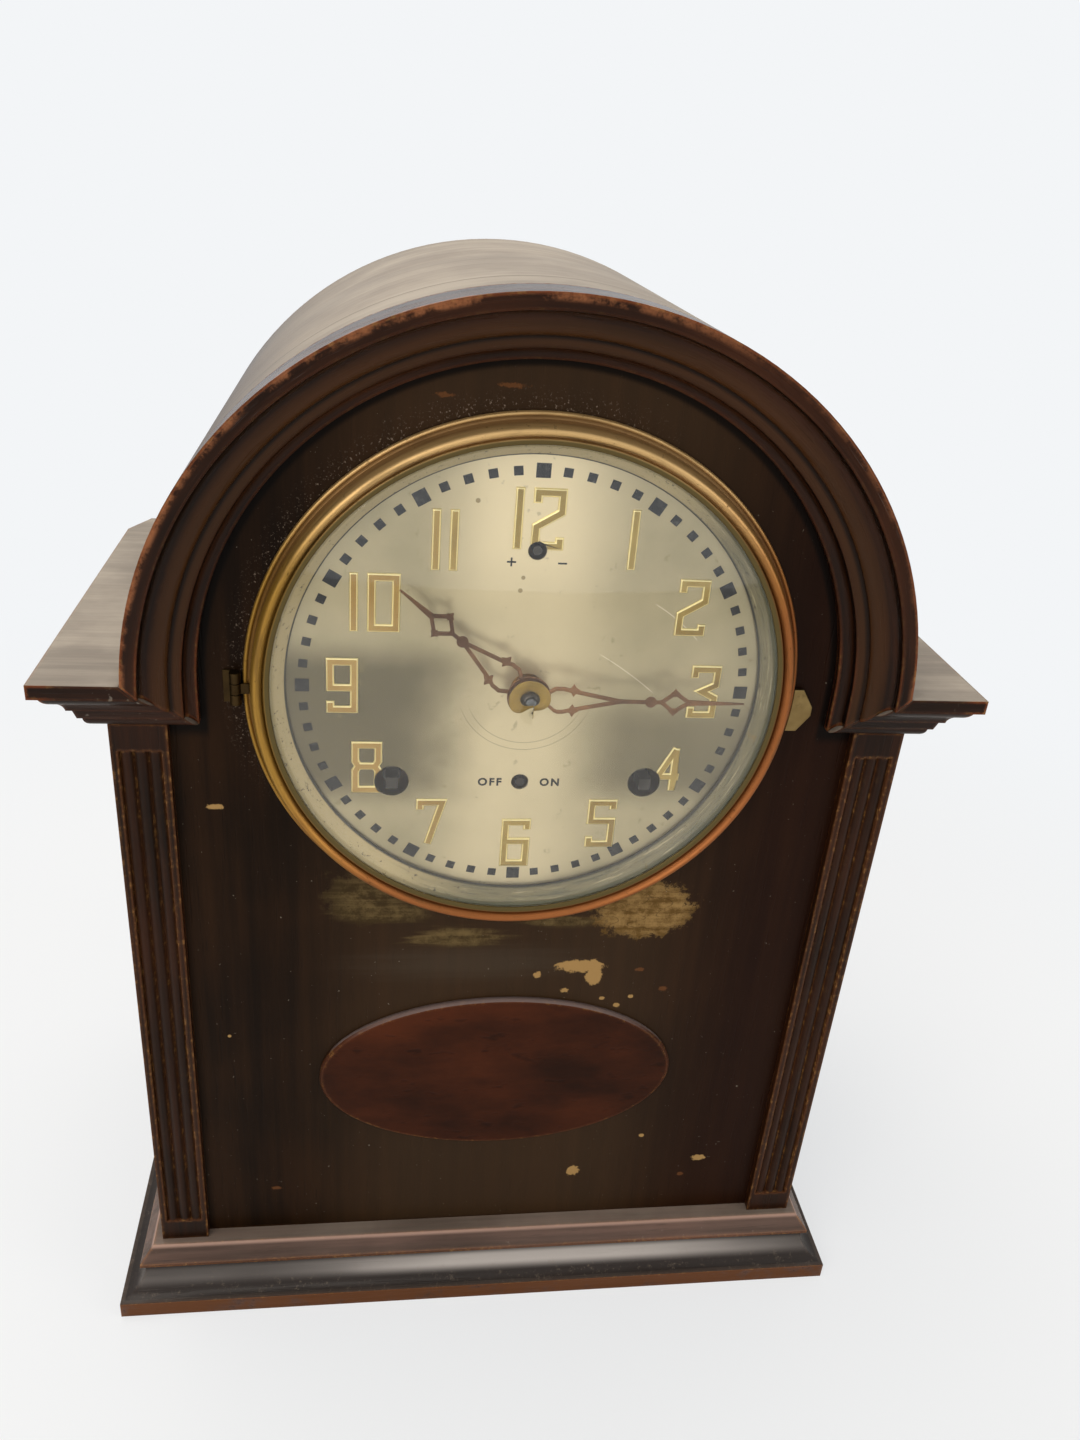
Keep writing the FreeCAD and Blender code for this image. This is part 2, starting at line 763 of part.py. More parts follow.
# Oval plaque, with a small bevel round its front edge
oval = Part.Ellipse(point(0, 0, 0), float(d.plaque_width) / 2, float(d.plaque_height) / 2)
plaque = Part.Face(Part.Wire(oval.toShape())).extrude(point(0, 0, d.plaque_thickness))
plaque.rotate(point(0, 0, 0), point(1, 0, 0), 90)
front_rim = [edge for edge in plaque.Edges if edge.BoundBox.YMax < -float(d.plaque_thickness) / 2]
plaque = plaque.makeChamfer(float(d.plaque_bevel), front_rim)
finished("oval_plaque", plaque, 0, panel_front, d.plaque_centre_height)

# Back of the case, with the door opening
door_half = d.door_width / 2
door_top = d.door_sill_height + d.door_height
back_frame = board("back_frame", "XZ_Plane", -case_rear, d.back_thickness, [
    (-side_inner, base_top),
    (side_inner, base_top),
    (side_inner, shoulder_bottom),
    (panel_arch, shoulder_bottom),
    (panel_arch, d.arch_height),
    (-panel_arch, d.arch_height),
    (-panel_arch, shoulder_bottom),
    (-side_inner, shoulder_bottom),
], {4: (panel_arch, 1)})
doorway = sketch_on(back_frame, "XZ_Plane", "doorway", -case_rear)
draw_outline(doorway, [
    (-door_half, d.door_sill_height),
    (door_half, d.door_sill_height),
    (door_half, door_top),
    (-door_half, door_top),
])
doorway_cut = back_frame.newObject("PartDesign::Pocket", "doorway_cut")
doorway_cut.Profile = doorway
doorway_cut.Reversed = True
bind(doorway_cut, "Length", d.back_thickness)
back_frame.Tip = doorway_cut

door = primitive("Box", "back_door", {
    "Length": d.door_width - d.door_gap * 2,
    "Width": d.door_thickness,
    "Height": d.door_height - d.door_gap * 2,
}, d.door_gap - door_half, case_rear - d.door_thickness, d.door_sill_height + d.door_gap)
door.Label = "back_door"

# Door hinges: two fixed leaves with their pins, and two leaves on the door
door_pin_x = door_half
door_pin_y = case_rear + d.door_knuckle_radius + d.pivot_clearance
hinge_plates = []
hinge_leaves = []
hinge_heights = (d.door_sill_height + d.door_hinge_inset, door_top - d.door_hinge_inset)
for hinge_height in hinge_heights:
    low = hinge_height - d.door_hinge_height / 2
    third = (d.door_hinge_height - d.shoulder_play * 2) / 3
    knuckles = [(low, low + third), (low + third * 2 + d.shoulder_play * 2, low + d.door_hinge_height)]
    fixed = [rod_z(d.door_knuckle_radius, a, b, door_pin_x, door_pin_y) for a, b in knuckles]
    fixed.append(rod_z(d.door_pin_radius, low, low + d.door_hinge_height, door_pin_x, door_pin_y))
    leaf_far = door_pin_x + d.door_leaf_width
    for a, b in knuckles:
        fixed.append(brick((door_pin_x, leaf_far), (case_rear, case_rear + d.door_leaf_thickness), (a, b)))
    leaf_start = door_pin_x + d.door_knuckle_radius + d.shoulder_play
    fixed.append(brick((leaf_start, leaf_far), (case_rear, case_rear + d.door_leaf_thickness),
                       (low, low + d.door_hinge_height)))
    hinge_plates.append(fused(fixed))
    mid = (low + third + d.shoulder_play, low + third * 2 + d.shoulder_play)
    swing = [rod_z(d.door_knuckle_radius, mid[0], mid[1], door_pin_x, door_pin_y)]
    swing.append(brick((door_pin_x - d.door_leaf_width, door_pin_x),
                       (case_rear, case_rear + d.door_leaf_thickness), mid))
    leaf_end = door_pin_x - d.door_knuckle_radius - d.shoulder_play
    swing.append(brick((door_pin_x - d.door_leaf_width, leaf_end),
                       (case_rear, case_rear + d.door_leaf_thickness), (low, low + d.door_hinge_height)))
    bore = rod_z(d.door_pin_radius + d.pivot_clearance, low, low + d.door_hinge_height, door_pin_x,
                 door_pin_y)
    hinge_leaves.append(fused(swing).cut(bore))
finished("door_hinge_plates", Part.makeCompound(hinge_plates))
finished("door_hinge_leaves", Part.makeCompound(hinge_leaves))

# Turn button beside the door, upright when the door is free
latch_x = -door_half - d.latch_width / 2 - d.shoulder_play * 4
latch_z = d.door_sill_height + d.door_height / 2
latch_y = case_rear + d.shoulder_play
latch_bar = brick((-d.latch_width / 2, d.latch_width / 2), (latch_y, latch_y + d.latch_thickness),
                  (d.latch_width / 2 - d.latch_length, d.latch_width / 2))
latch_bar = latch_bar.makeFillet(float(d.latch_width) / 3, [
    edge for edge in latch_bar.Edges
    if abs(edge.Vertexes[0].Point.y - edge.Vertexes[-1].Point.y) > float(d.latch_thickness) / 2])
LATCH_HEAD_SHARES = (1.8, 1.5)
latch_screw = [
    rod_y(d.latch_screw_radius, case_rear - d.latch_screw_depth, latch_y + d.latch_thickness),
    rod_y(d.latch_screw_radius * LATCH_HEAD_SHARES[0], latch_y + d.latch_thickness,
          latch_y + d.latch_thickness * LATCH_HEAD_SHARES[1]),
]
finished("door_latch", fused([latch_bar] + latch_screw), latch_x, 0, latch_z)
latch_hole = sketch_on(back_frame, "XZ_Plane", "latch_screw_hole", -case_rear)
draw_circle(latch_hole, latch_x, latch_z, d.latch_screw_radius + d.pivot_clearance)
latch_cut = back_frame.newObject("PartDesign::Pocket", "latch_screw_hole_cut")
latch_cut.Profile = latch_hole
latch_cut.Reversed = True
bind(latch_cut, "Length", d.latch_screw_depth + d.pivot_clearance)
back_frame.Tip = latch_cut

# Dial: a silvered pan in the panel's hole, with its rim on the panel
rim_front = panel_front - d.dial_thickness
dial_wall = d.dial_radius + d.dial_thickness
dial = turned("dial_plate", [
    (dial_front, d.dial_centre_hole_radius),
    (dial_front, d.dial_radius),
    (rim_front, d.dial_radius),
    (rim_front, d.dial_flange_radius),
    (panel_front, d.dial_flange_radius),
    (panel_front, dial_wall),
    (dial_rear, dial_wall),
    (dial_rear, d.dial_centre_hole_radius),
], z=d.dial_height)
dial_holes = sketch_on(dial, "XZ_Plane", "dial_holes", -dial_rear)
hole_places = [
    (-d.winding_offset, -d.winding_drop, d.winding_hole_radius),
    (d.winding_offset, -d.winding_drop, d.winding_hole_radius),
    (0, -d.winding_drop, d.small_hole_radius),
    (0, d.regulator_rise, d.small_hole_radius),
]
for x, z, radius in hole_places:
    draw_circle(dial_holes, x, z, radius)
dial_cut = dial.newObject("PartDesign::Pocket", "dial_holes_cut")
dial_cut.Profile = dial_holes
dial_cut.Reversed = True
bind(dial_cut, "Length", d.dial_thickness)
dial.Tip = dial_cut


def offset_line(points, reach, closed):
    """The points moved sideways by reach, with mitred corners."""
    moved = []
    count = len(points)
    for index, (x, z) in enumerate(points):
        ways = []
        for a, b in (((index - 1) % count, index), (index, (index + 1) % count)):
            if closed or b > a:
                run = (points[b][0] - points[a][0], points[b][1] - points[a][1])
                length = math.hypot(run[0], run[1])
                ways.append((-run[1] / length, run[0] / length))
        first, last = ways[0], ways[-1]
        scale = reach / (1 + first[0] * last[0] + first[1] * last[1])
        moved.append((x + (first[0] + last[0]) * scale, z + (first[1] + last[1]) * scale))
    return moved


def stroke(points, width, start, stop, closed=False):
    """A flat bar of even width that follows a line of points in X and Z."""
    reach = float(width) / 2
    left = offset_line(points, reach, closed)
    right = offset_line(points, -reach, closed)
    if not closed:
        return slab_xz(left + list(reversed(right)), start, stop)
    outer, inner = (left, right) if shoelace(left) > shoelace(right) else (right, left)
    over = float(stop) - float(start)
    return slab_xz(outer, start, stop).cut(slab_xz(inner, float(start) - over, float(stop) + over))


def shoelace(points):
    """The size of the area inside a line of points."""
    total = 0
    for (x0, z0), (x1, z1) in zip(points, points[1:] + points[:1]):
        total += x0 * z1 - x1 * z0
    return abs(total) / 2


# Squared block figures: lines in shares of the figure's width and height, and whether they close
FIGURE_SHARES = {
    "0": [([(0, 0), (1, 0), (1, 1), (0, 1)], True)],
    "1": [([(0.5, 0), (0.5, 1)], False)],
    "2": [([(0, 0.8), (0, 1), (1, 1), (1, 0.64), (0, 0.36), (0, 0), (1, 0), (1, 0.17)], False)],
    "3": [([(0, 0.8), (0, 1), (1, 1), (1, 0.66), (0.4, 0.52), (1, 0.38), (1, 0), (0, 0), (0, 0.18)], False)],
    "4": [([(0.72, 0), (0.72, 1)], False), ([(0.72, 1), (0, 0.34), (1, 0.34)], False)],
    "5": [([(1, 0.84), (1, 1), (0, 1), (0, 0.56), (1, 0.56), (1, 0), (0, 0), (0, 0.18)], False)],
    "6": [([(1, 0.82), (1, 1), (0, 1), (0, 0.5)], False), ([(0, 0), (1, 0), (1, 0.54), (0, 0.54)], True)],
    "7": [([(0, 0.82), (0, 1), (1, 1), (0.38, 0)], False)],
    "8": [([(0.14, 0.53), (0, 0.64), (0, 1), (1, 1), (1, 0.64), (0.86, 0.53)], True),
          ([(0.14, 0.53), (0.86, 0.53), (1, 0.42), (1, 0), (0, 0), (0, 0.42)], True)],
    "9": [([(0, 0.18), (0, 0), (1, 0), (1, 0.5)], False), ([(0, 0.46), (1, 0.46), (1, 1), (0, 1)], True)],
}


def figure(name, centre_x, centre_z):
    """One raised figure on the dial."""
    width = float(d.numeral_width) - float(d.numeral_stroke)
    height = float(d.numeral_height) - float(d.numeral_stroke)
    bars = []
    for shares, closed in FIGURE_SHARES[name]:
        line = [(centre_x + (across - 0.5) * width, centre_z + (up - 0.5) * height) for across, up in shares]
        if name == "1":
            stretch = float(d.numeral_height) / height
            line = [(x, centre_z + (z - centre_z) * stretch) for x, z in line]
        bars.append(stroke(line, d.numeral_stroke, dial_front - d.numeral_relief, dial_front, closed))
    return fused(bars)


# The figures stop at the edges of the dial's holes
hole_room = fused([
    rod_y(radius + d.numeral_hole_gap, dial_front - d.numeral_relief, dial_front, x,
          z) for x, z, radius in hole_places
])
figures = []
for hour in range(1, 13):
    digits = str(hour)
    ring_radius = d.numeral_ring_radius if len(digits) == 1 else d.double_numeral_ring_radius
    middle_x, middle_z = polar(ring_radius, math.radians(90 - 30 * hour))
    widths = [float(d.numeral_stroke) if digit == "1" else float(d.numeral_width) for digit in digits]
    cursor = middle_x - (sum(widths) + float(d.numeral_gap) * (len(digits) - 1)) / 2
    for digit, width in zip(digits, widths):
        figures.append(figure(digit, cursor + width / 2, middle_z).cut(hole_room))
        cursor += width + float(d.numeral_gap)
finished("hour_numerals", Part.makeCompound(figures), z=d.dial_height)

# Bezel: a brass ring rolled over a convex glass, hinged at its left
bezel_back = panel_front - d.bezel_lift
flange_front = bezel_back - d.bezel_flange_thickness
lip_front = panel_front - d.bezel_lip_height
lip_back = lip_front + d.bezel_lip_thickness
roll_front = panel_front - d.bezel_roll_height
roll_radius = (d.bezel_groove_radius - d.bezel_lip_radius) / 2
glass_seat = d.glass_radius + d.wood_seam
glass_rear = lip_back + d.glass_thickness + d.wood_seam
ROLL_START_SHARES = (0.6, 0.25)
ROLL_ARC_SHARES = (3, 1.05)
turned("bezel_ring", [
    (bezel_back, d.bezel_radius),
    (flange_front, d.bezel_radius),
    (flange_front, d.bezel_groove_radius),
    (roll_front + roll_radius * ROLL_START_SHARES[0],
     d.bezel_groove_radius - roll_radius * ROLL_START_SHARES[1]),
    (lip_front, d.bezel_lip_radius),
    (lip_back, d.bezel_lip_radius),
    (lip_back, glass_seat),
    (glass_rear + d.slip_ring_thickness * 2, glass_seat),
    (bezel_back, d.bezel_groove_radius - roll_radius),
], {2: (roll_radius * ROLL_ARC_SHARES[0], 1), 3: (roll_radius * ROLL_ARC_SHARES[1], 1)}, z=d.dial_height)

glass_edge_front = lip_back + d.wood_seam / 2
glass_edge_rear = glass_edge_front + d.glass_thickness
dome_edge = d.bezel_lip_radius - d.wood_seam * 2
dome_radius = (dome_edge * dome_edge + d.glass_dome * d.glass_dome) / (d.glass_dome * 2)
turned("bezel_glass", [
    (glass_edge_front, d.glass_radius),
    (glass_edge_front, dome_edge),
    (glass_edge_front - d.glass_dome, 0),
    (glass_edge_rear - d.glass_dome, 0),
    (glass_edge_rear, dome_edge),
    (glass_edge_rear, d.glass_radius),
], {1: (dome_radius, 1), 3: (dome_radius, -1)}, z=d.dial_height)

slip_front = glass_edge_rear + d.wood_seam / 2
slip_rear = dial_front - d.numeral_relief
turned("bezel_slip_ring", [
    (slip_front, d.glass_radius),
    (slip_front, d.bezel_lip_radius),
    (slip_rear - d.slip_ring_thickness, d.slip_ring_inner_radius),
    (slip_rear, d.slip_ring_inner_radius),
    (slip_rear, d.slip_ring_inner_radius + d.slip_ring_thickness),
    (slip_front + d.slip_ring_thickness, d.bezel_lip_radius + d.slip_ring_thickness),
    (slip_front + d.slip_ring_thickness, d.glass_radius),
], z=d.dial_height)

# Bezel hinge: a plate with its pin on the panel, and a leaf soldered to the bezel's flange
pin_x = -d.bezel_radius - d.bezel_hinge_gap
pin_y = panel_front - d.bezel_hinge_offset
hinge_low = -d.bezel_hinge_height / 2
bezel_third = (d.bezel_hinge_height - d.shoulder_play * 2) / 3
fixed = []
for low, high in ((hinge_low, hinge_low + bezel_third), (-hinge_low - bezel_third, -hinge_low)):
    fixed.append(rod_z(d.bezel_knuckle_radius, low, high, pin_x, pin_y))
    fixed.append(brick((pin_x - d.bezel_knuckle_radius, pin_x),
                       (pin_y, panel_front), (low, high)))
fixed.append(rod_z(d.bezel_pin_radius, hinge_low, -hinge_low, pin_x, pin_y))
fixed.append(brick((pin_x - d.bezel_leaf_width, pin_x - d.bezel_knuckle_radius + d.bezel_pin_radius / 2),
                   (panel_front - d.bezel_leaf_thickness, panel_front), (hinge_low, -hinge_low)))
mid_low = hinge_low + bezel_third + d.shoulder_play
clear_room = rod_z(d.bezel_knuckle_radius + d.shoulder_play, mid_low - d.shoulder_play,
                   -mid_low + d.shoulder_play, pin_x, pin_y)
pin_piece = rod_z(d.bezel_pin_radius, mid_low - d.shoulder_play, -mid_low + d.shoulder_play, pin_x, pin_y)
finished("bezel_hinge_plate", fused([fused(fixed).cut(clear_room), pin_piece]), z=d.dial_height)
moving = rod_z(d.bezel_knuckle_radius, mid_low, -mid_low, pin_x, pin_y)
strap = brick((pin_x, -d.bezel_groove_radius - d.wood_seam),
              (flange_front - d.bezel_leaf_thickness, flange_front), (mid_low, -mid_low))
knuckle = fused([moving, strap])
knuckle = knuckle.cut(rod_z(d.bezel_pin_radius + d.pivot_clearance, mid_low, -mid_low, pin_x, pin_y))
finished("bezel_hinge_leaf", knuckle, z=d.dial_height)

# Thumb tab at the bezel's right edge
TAB_OUTLINE_SHARES = ((-0.8, -0.5), (0.4, -0.5), (1.0, -0.12), (1.0, 0.08), (0.45, 0.5), (-0.8, 0.5))
tab_corners = [(float(d.bezel_radius + d.tab_length * across), float(d.tab_height * up - d.tab_drop))
               for across, up in TAB_OUTLINE_SHARES]
tab = slab_xz(tab_corners, bezel_back - d.tab_thickness, bezel_back)
finished("bezel_tab", tab.cut(rod_y(d.bezel_radius, flange_front, bezel_back)), z=d.dial_height)


# Wheels and pinions
RIM_SHARE = 4
HUB_SHARE = 3
WINDOW_SHARES = (0.55, 0.84)


def tooth_outline(teeth, module, phase, addendum_share=0.85, root_share=1.2, backlash_share=0.10):
    """Corners of a toothed wheel with involute flanks, a tooth centred at the angle phase."""
    pitch = teeth * module / 2
    base = pitch * math.cos(PRESSURE_ANGLE)
    tip = pitch + module * addendum_share
    root = pitch - module * root_share
    half_tooth = math.pi / (2 * teeth) - backlash_share * module / pitch
    pitch_roll = math.tan(PRESSURE_ANGLE) - PRESSURE_ANGLE
    flank = []
    start = max(base, root)
    for step in range(4):
        radius = start + (tip - start) * step / 3
        roll = math.acos(min(1.0, base / radius))
        flank.append((radius, half_tooth + pitch_roll - (math.tan(roll) - roll)))
    if root < base:
        flank.insert(0, (root, flank[0][1]))
    corners = []
    for index in range(teeth):
        centre = phase + index * 2 * math.pi / teeth
        corners += [polar(radius, centre - half) for radius, half in flank]
        corners += [polar(radius, centre + half) for radius, half in reversed(flank)]
    return corners


def wheel(teeth, module, start, stop, phase, bore=0, spokes=0):
    """A toothed wheel between two places along Y, with windows between its spokes."""
    module = float(module)
    shape = slab_xz(tooth_outline(teeth, module, phase), start, stop)
    rim = teeth * module / 2 - module * RIM_SHARE
    hub = float(d.arbor_radius) * HUB_SHARE
    for index in range(spokes):
        centre = (index + 0.5) * 2 * math.pi / spokes
        reach = math.pi / spokes
        corners = []
        for radius, share in zip((hub, rim), WINDOW_SHARES):
            sweep = [centre + reach * share * step / 4 for step in range(-4, 5)]
            arc = [polar(radius, angle) for angle in sweep]
            corners += arc if radius == hub else list(reversed(arc))
        over = float(stop) - float(start)
        shape = shape.cut(slab_xz(corners, float(start) - over, float(stop) + over))
    if float(bore) > 0:
        shape = shape.cut(rod_y(bore, start, stop))
    return shape


def pitch_radius(teeth, module):
    """Pitch radius of a wheel."""
    return teeth * float(module) / 2


def mesh_point(a, reach_a, b, reach_b, side):
    """The place at reach_a from a and reach_b from b, on one side of the line between them."""
    run_x, run_z = b[0] - a[0], b[1] - a[1]
    span = math.hypot(run_x, run_z)
    along = (reach_a ** 2 - reach_b ** 2 + span ** 2) / (2 * span)
    across = math.sqrt(max(reach_a ** 2 - along ** 2, 0)) * side
    return (a[0] + (run_x * along - run_z * across) / span, a[1] + (run_z * along + run_x * across) / span)


def reach_point(a, reach, angle):
    """The place at a reach and an angle in degrees from a."""
    x, z = polar(reach, math.radians(angle))
    return (a[0] + x, a[1] + z)


def mesh_phase(a, teeth_a, phase_a, b, teeth_b):
    """The phase of wheel b that puts its space where wheel a has its tooth."""
    angle = math.atan2(b[1] - a[1], b[0] - a[0])
    return angle + math.pi + math.pi / teeth_b - (phase_a - angle) * teeth_a / teeth_b


# Where each arbor stands, from the dial's centre
THIRD_ANGLE = 115.6
FOURTH_ANGLE = 42.2
centre_at = (0.0, 0.0)
time_at = (float(d.winding_offset), -float(d.winding_drop))
chime_at = (-float(d.winding_offset), -float(d.winding_drop))
great_module = d.great_wheel_module
second_reach = pitch_radius(GREAT_TEETH, great_module) + pitch_radius(SECOND_PINION_LEAVES, great_module)
centre_reach = pitch_radius(SECOND_TEETH, great_module) + pitch_radius(CENTRE_PINION_TEETH, great_module)
second_at = mesh_point(time_at, second_reach, centre_at, centre_reach, -1)
third_reach = pitch_radius(CENTRE_TEETH, d.centre_wheel_module) \
    + pitch_radius(THIRD_PINION_LEAVES, d.centre_wheel_module)
third_at = reach_point(centre_at, third_reach, THIRD_ANGLE)
fourth_reach = pitch_radius(THIRD_TEETH, d.third_wheel_module) \
    + pitch_radius(FOURTH_PINION_LEAVES, d.third_wheel_module)
fourth_at = reach_point(third_at, fourth_reach, FOURTH_ANGLE)
escape_reach = pitch_radius(FOURTH_TEETH, d.fine_module) + pitch_radius(ESCAPE_PINION_LEAVES, d.fine_module)
escape_drop = math.sqrt(escape_reach ** 2 - fourth_at[0] ** 2)
escape_at = (0.0, fourth_at[1] + escape_drop)
verge_at = (0.0, float(d.verge_rise))
drum_at = (float(d.drum_arbor_offset), -float(d.drum_arbor_drop))
drum_reach = pitch_radius(CHIME_SECOND_TEETH, d.chime_wheel_module) \
    + pitch_radius(DRUM_PINION_LEAVES, d.chime_wheel_module)
chime_second_at = mesh_point(chime_at, second_reach, drum_at, drum_reach, 1)
fly_reach = pitch_radius(DRUM_WHEEL_TEETH, d.fine_module) + pitch_radius(FLY_PINION_LEAVES, d.fine_module)
fly_drop = math.sqrt(fly_reach ** 2 - (float(d.fly_offset) - drum_at[0]) ** 2)
fly_at = (float(d.fly_offset), drum_at[1] - fly_drop)
hammer_at = (float(d.hammer_arbor_offset), -float(d.hammer_arbor_drop))
minute_wheel_at = (float(d.minute_wheel_offset), float(d.minute_wheel_offset))

# Layers between the plates, as shares of the room between them from the front plate back
LAYER_SHARES = {"centre": 0.33, "third": 0.48, "drum_wheel": 0.61, "middle": 0.69, "great": 0.80,
                "escape": 0.86}


def layer(name):
    """The front face of a layer of wheels."""
    return float(front_plate_rear) + float(d.plate_spacing) * LAYER_SHARES[name]


def arbor_shapes(front_pivot=True, back_pivot=True, radius=None):
    """A steel arbor between the plates, with a pivot at each end."""
    radius = float(radius or d.arbor_radius)
    start = float(front_plate_rear + d.shoulder_play)
    stop = float(back_plate_front - d.shoulder_play)
    shapes = [rod_y(radius, start, stop)]
    if front_pivot:
        shapes.append(rod_y(d.pivot_radius, front_plate_front, start))
    if back_pivot:
        shapes.append(rod_y(d.pivot_radius, stop, back_plate_rear))
    return shapes


def arbor_piece(label, at, shapes):
    """A wheel and pinion on their arbor, as one piece."""
    finished(label, fused(shapes), at[0], 0, float(d.dial_height) + at[1])


thin = float(d.wheel_thickness)
long_leaf = float(d.pinion_length)
middle = layer("middle")
great = layer("great")
great_stop = great + float(d.great_wheel_thickness)
leaf_side = (long_leaf - thin) / 2

# Time side
time_phase = 0.0
second_pinion_phase = mesh_phase(time_at, GREAT_TEETH, time_phase, second_at, SECOND_PINION_LEAVES)
second_phase = 0.0
arbor_piece("time_second_wheel", second_at, arbor_shapes() + [
    wheel(SECOND_PINION_LEAVES, great_module, great, great_stop, second_pinion_phase),
    wheel(SECOND_TEETH, great_module, middle, middle + thin, second_phase, 0, 4),
])
centre_pinion_phase = mesh_phase(second_at, SECOND_TEETH, second_phase, centre_at, CENTRE_PINION_TEETH)
centre_layer = layer("centre")
cannon_rear = float(front_plate_front - d.shoulder_play)
motion_layer = cannon_rear - thin * 2
hour_layer = float(dial_rear) + thin * 2
minute_hand_rear = panel_front - d.minute_hand_stand_off + d.hand_thickness
hour_hand_rear = panel_front - d.hour_hand_stand_off + d.hand_thickness
minute_hand_front = minute_hand_rear - d.hand_thickness
washer_front = minute_hand_front - d.washer_thickness
nut_front = washer_front - d.nut_height
tip_front = nut_front - d.centre_tip_length
MINUTE_MODULE_SHARE = (HOUR_TEETH + MINUTE_PINION_LEAVES) / (CANNON_TEETH + MINUTE_WHEEL_TEETH)
minute_module = d.hour_wheel_module * MINUTE_MODULE_SHARE
# The centre wheel is loose on its arbor, held between a collar and a friction spring, so that the hands can be set
hub_front = centre_layer - leaf_side
hub_rear = middle + thin + leaf_side
spring_rear = hub_front - d.shoulder_play
spring_front = spring_rear - d.friction_spring_thickness
spring_corners = []
for index in range(6):
    leg = d.friction_spring_radius if index % 2 == 0 else d.centre_hub_radius
    spring_corners.append(polar(leg, index * math.pi / 3))
arbor_piece("centre_arbor", centre_at, [
    rod_y(d.centre_tip_radius, tip_front, minute_hand_rear),
    rod_y(d.cannon_radius, minute_hand_rear, cannon_rear),
    rod_y(d.centre_bearing_radius, cannon_rear, back_plate_front - d.shoulder_play),
    rod_y(d.pivot_radius, back_plate_front - d.shoulder_play, back_plate_rear),
    slab_xz(spring_corners, spring_front, spring_rear),
    rod_y(d.centre_hub_radius, spring_front - thin, spring_front),
    rod_y(d.centre_hub_radius, hub_rear + d.shoulder_play, hub_rear + d.shoulder_play + thin),
    wheel(CANNON_TEETH, minute_module, motion_layer, cannon_rear, 0.0),
])
centre_bore = d.centre_bearing_radius + d.pivot_clearance
centre_train = fused([
    rod_y(d.centre_hub_radius, hub_front, hub_rear),
    wheel(CENTRE_PINION_TEETH, great_module, middle - leaf_side, hub_rear, centre_pinion_phase),
    wheel(CENTRE_TEETH, d.centre_wheel_module, centre_layer, centre_layer + thin, 0.0, 0, 5),
])
finished("centre_wheel", centre_train.cut(rod_y(centre_bore, hub_front, hub_rear)), z=d.dial_height)
third_pinion_phase = mesh_phase(centre_at, CENTRE_TEETH, 0.0, third_at, THIRD_PINION_LEAVES)
third_layer = layer("third")
arbor_piece("third_wheel", third_at, arbor_shapes() + [
    wheel(THIRD_PINION_LEAVES, d.centre_wheel_module, centre_layer - leaf_side,
          centre_layer + thin + leaf_side, third_pinion_phase),
    wheel(THIRD_TEETH, d.third_wheel_module, third_layer, third_layer + thin, 0.0, 0, 4),
])
fourth_pinion_phase = mesh_phase(third_at, THIRD_TEETH, 0.0, fourth_at, FOURTH_PINION_LEAVES)
arbor_piece("fourth_wheel", fourth_at, arbor_shapes() + [
    wheel(FOURTH_PINION_LEAVES, d.third_wheel_module, third_layer - leaf_side,
          third_layer + thin + leaf_side, fourth_pinion_phase),
    wheel(FOURTH_TEETH, d.fine_module, middle, middle + thin, 0.0),
])
escape_pinion_phase = mesh_phase(fourth_at, FOURTH_TEETH, 0.0, escape_at, ESCAPE_PINION_LEAVES)
ESCAPE_VALLEY_SHARE = 0.9
escape_corners = []
for index in range(ESCAPE_TEETH):
    angle = index * 2 * math.pi / ESCAPE_TEETH
    valley = float(d.escape_wheel_radius) - float(d.escape_tooth_height)
    escape_corners.append(polar(d.escape_wheel_radius, angle))
    escape_corners.append(polar(valley, angle + ESCAPE_VALLEY_SHARE * math.pi / ESCAPE_TEETH))
escape_layer = layer("escape")
arbor_piece("escape_wheel", escape_at, arbor_shapes() + [
    wheel(ESCAPE_PINION_LEAVES, d.fine_module, middle - leaf_side, middle + thin + leaf_side,
          escape_pinion_phase),
    slab_xz(escape_corners, escape_layer, escape_layer + thin),
])

# Motion work behind the dial
minute_phase = mesh_phase(centre_at, CANNON_TEETH, 0.0, minute_wheel_at, MINUTE_WHEEL_TEETH)
minute_layer = motion_layer + leaf_side
minute_pinion_phase = 0.0
hour_rear = hour_layer + thin
arbor_piece("minute_wheel", minute_wheel_at, [
    rod_y(d.pivot_radius, motion_layer, front_plate_rear),
    rod_y(d.arbor_radius, hour_layer - leaf_side, cannon_rear),
    wheel(MINUTE_WHEEL_TEETH, minute_module, minute_layer, minute_layer + thin, minute_phase, 0, 3),
    wheel(MINUTE_PINION_LEAVES, d.hour_wheel_module, hour_layer - leaf_side, minute_layer,
          minute_pinion_phase),
])
hour_phase = mesh_phase(minute_wheel_at, MINUTE_PINION_LEAVES, minute_pinion_phase, centre_at, HOUR_TEETH)
pipe_bore = d.cannon_radius + d.pipe_clearance
hour_pipe_front = hour_hand_rear - d.hand_thickness * 2
hour_gear = wheel(HOUR_TEETH, d.hour_wheel_module, hour_layer, hour_rear, hour_phase, 0, 4)
hour_tube = rod_y(d.pipe_radius, hour_pipe_front, hour_rear)
finished("hour_wheel", fused([hour_gear, hour_tube]).cut(rod_y(pipe_bore, hour_pipe_front, hour_rear)),
         z=d.dial_height)


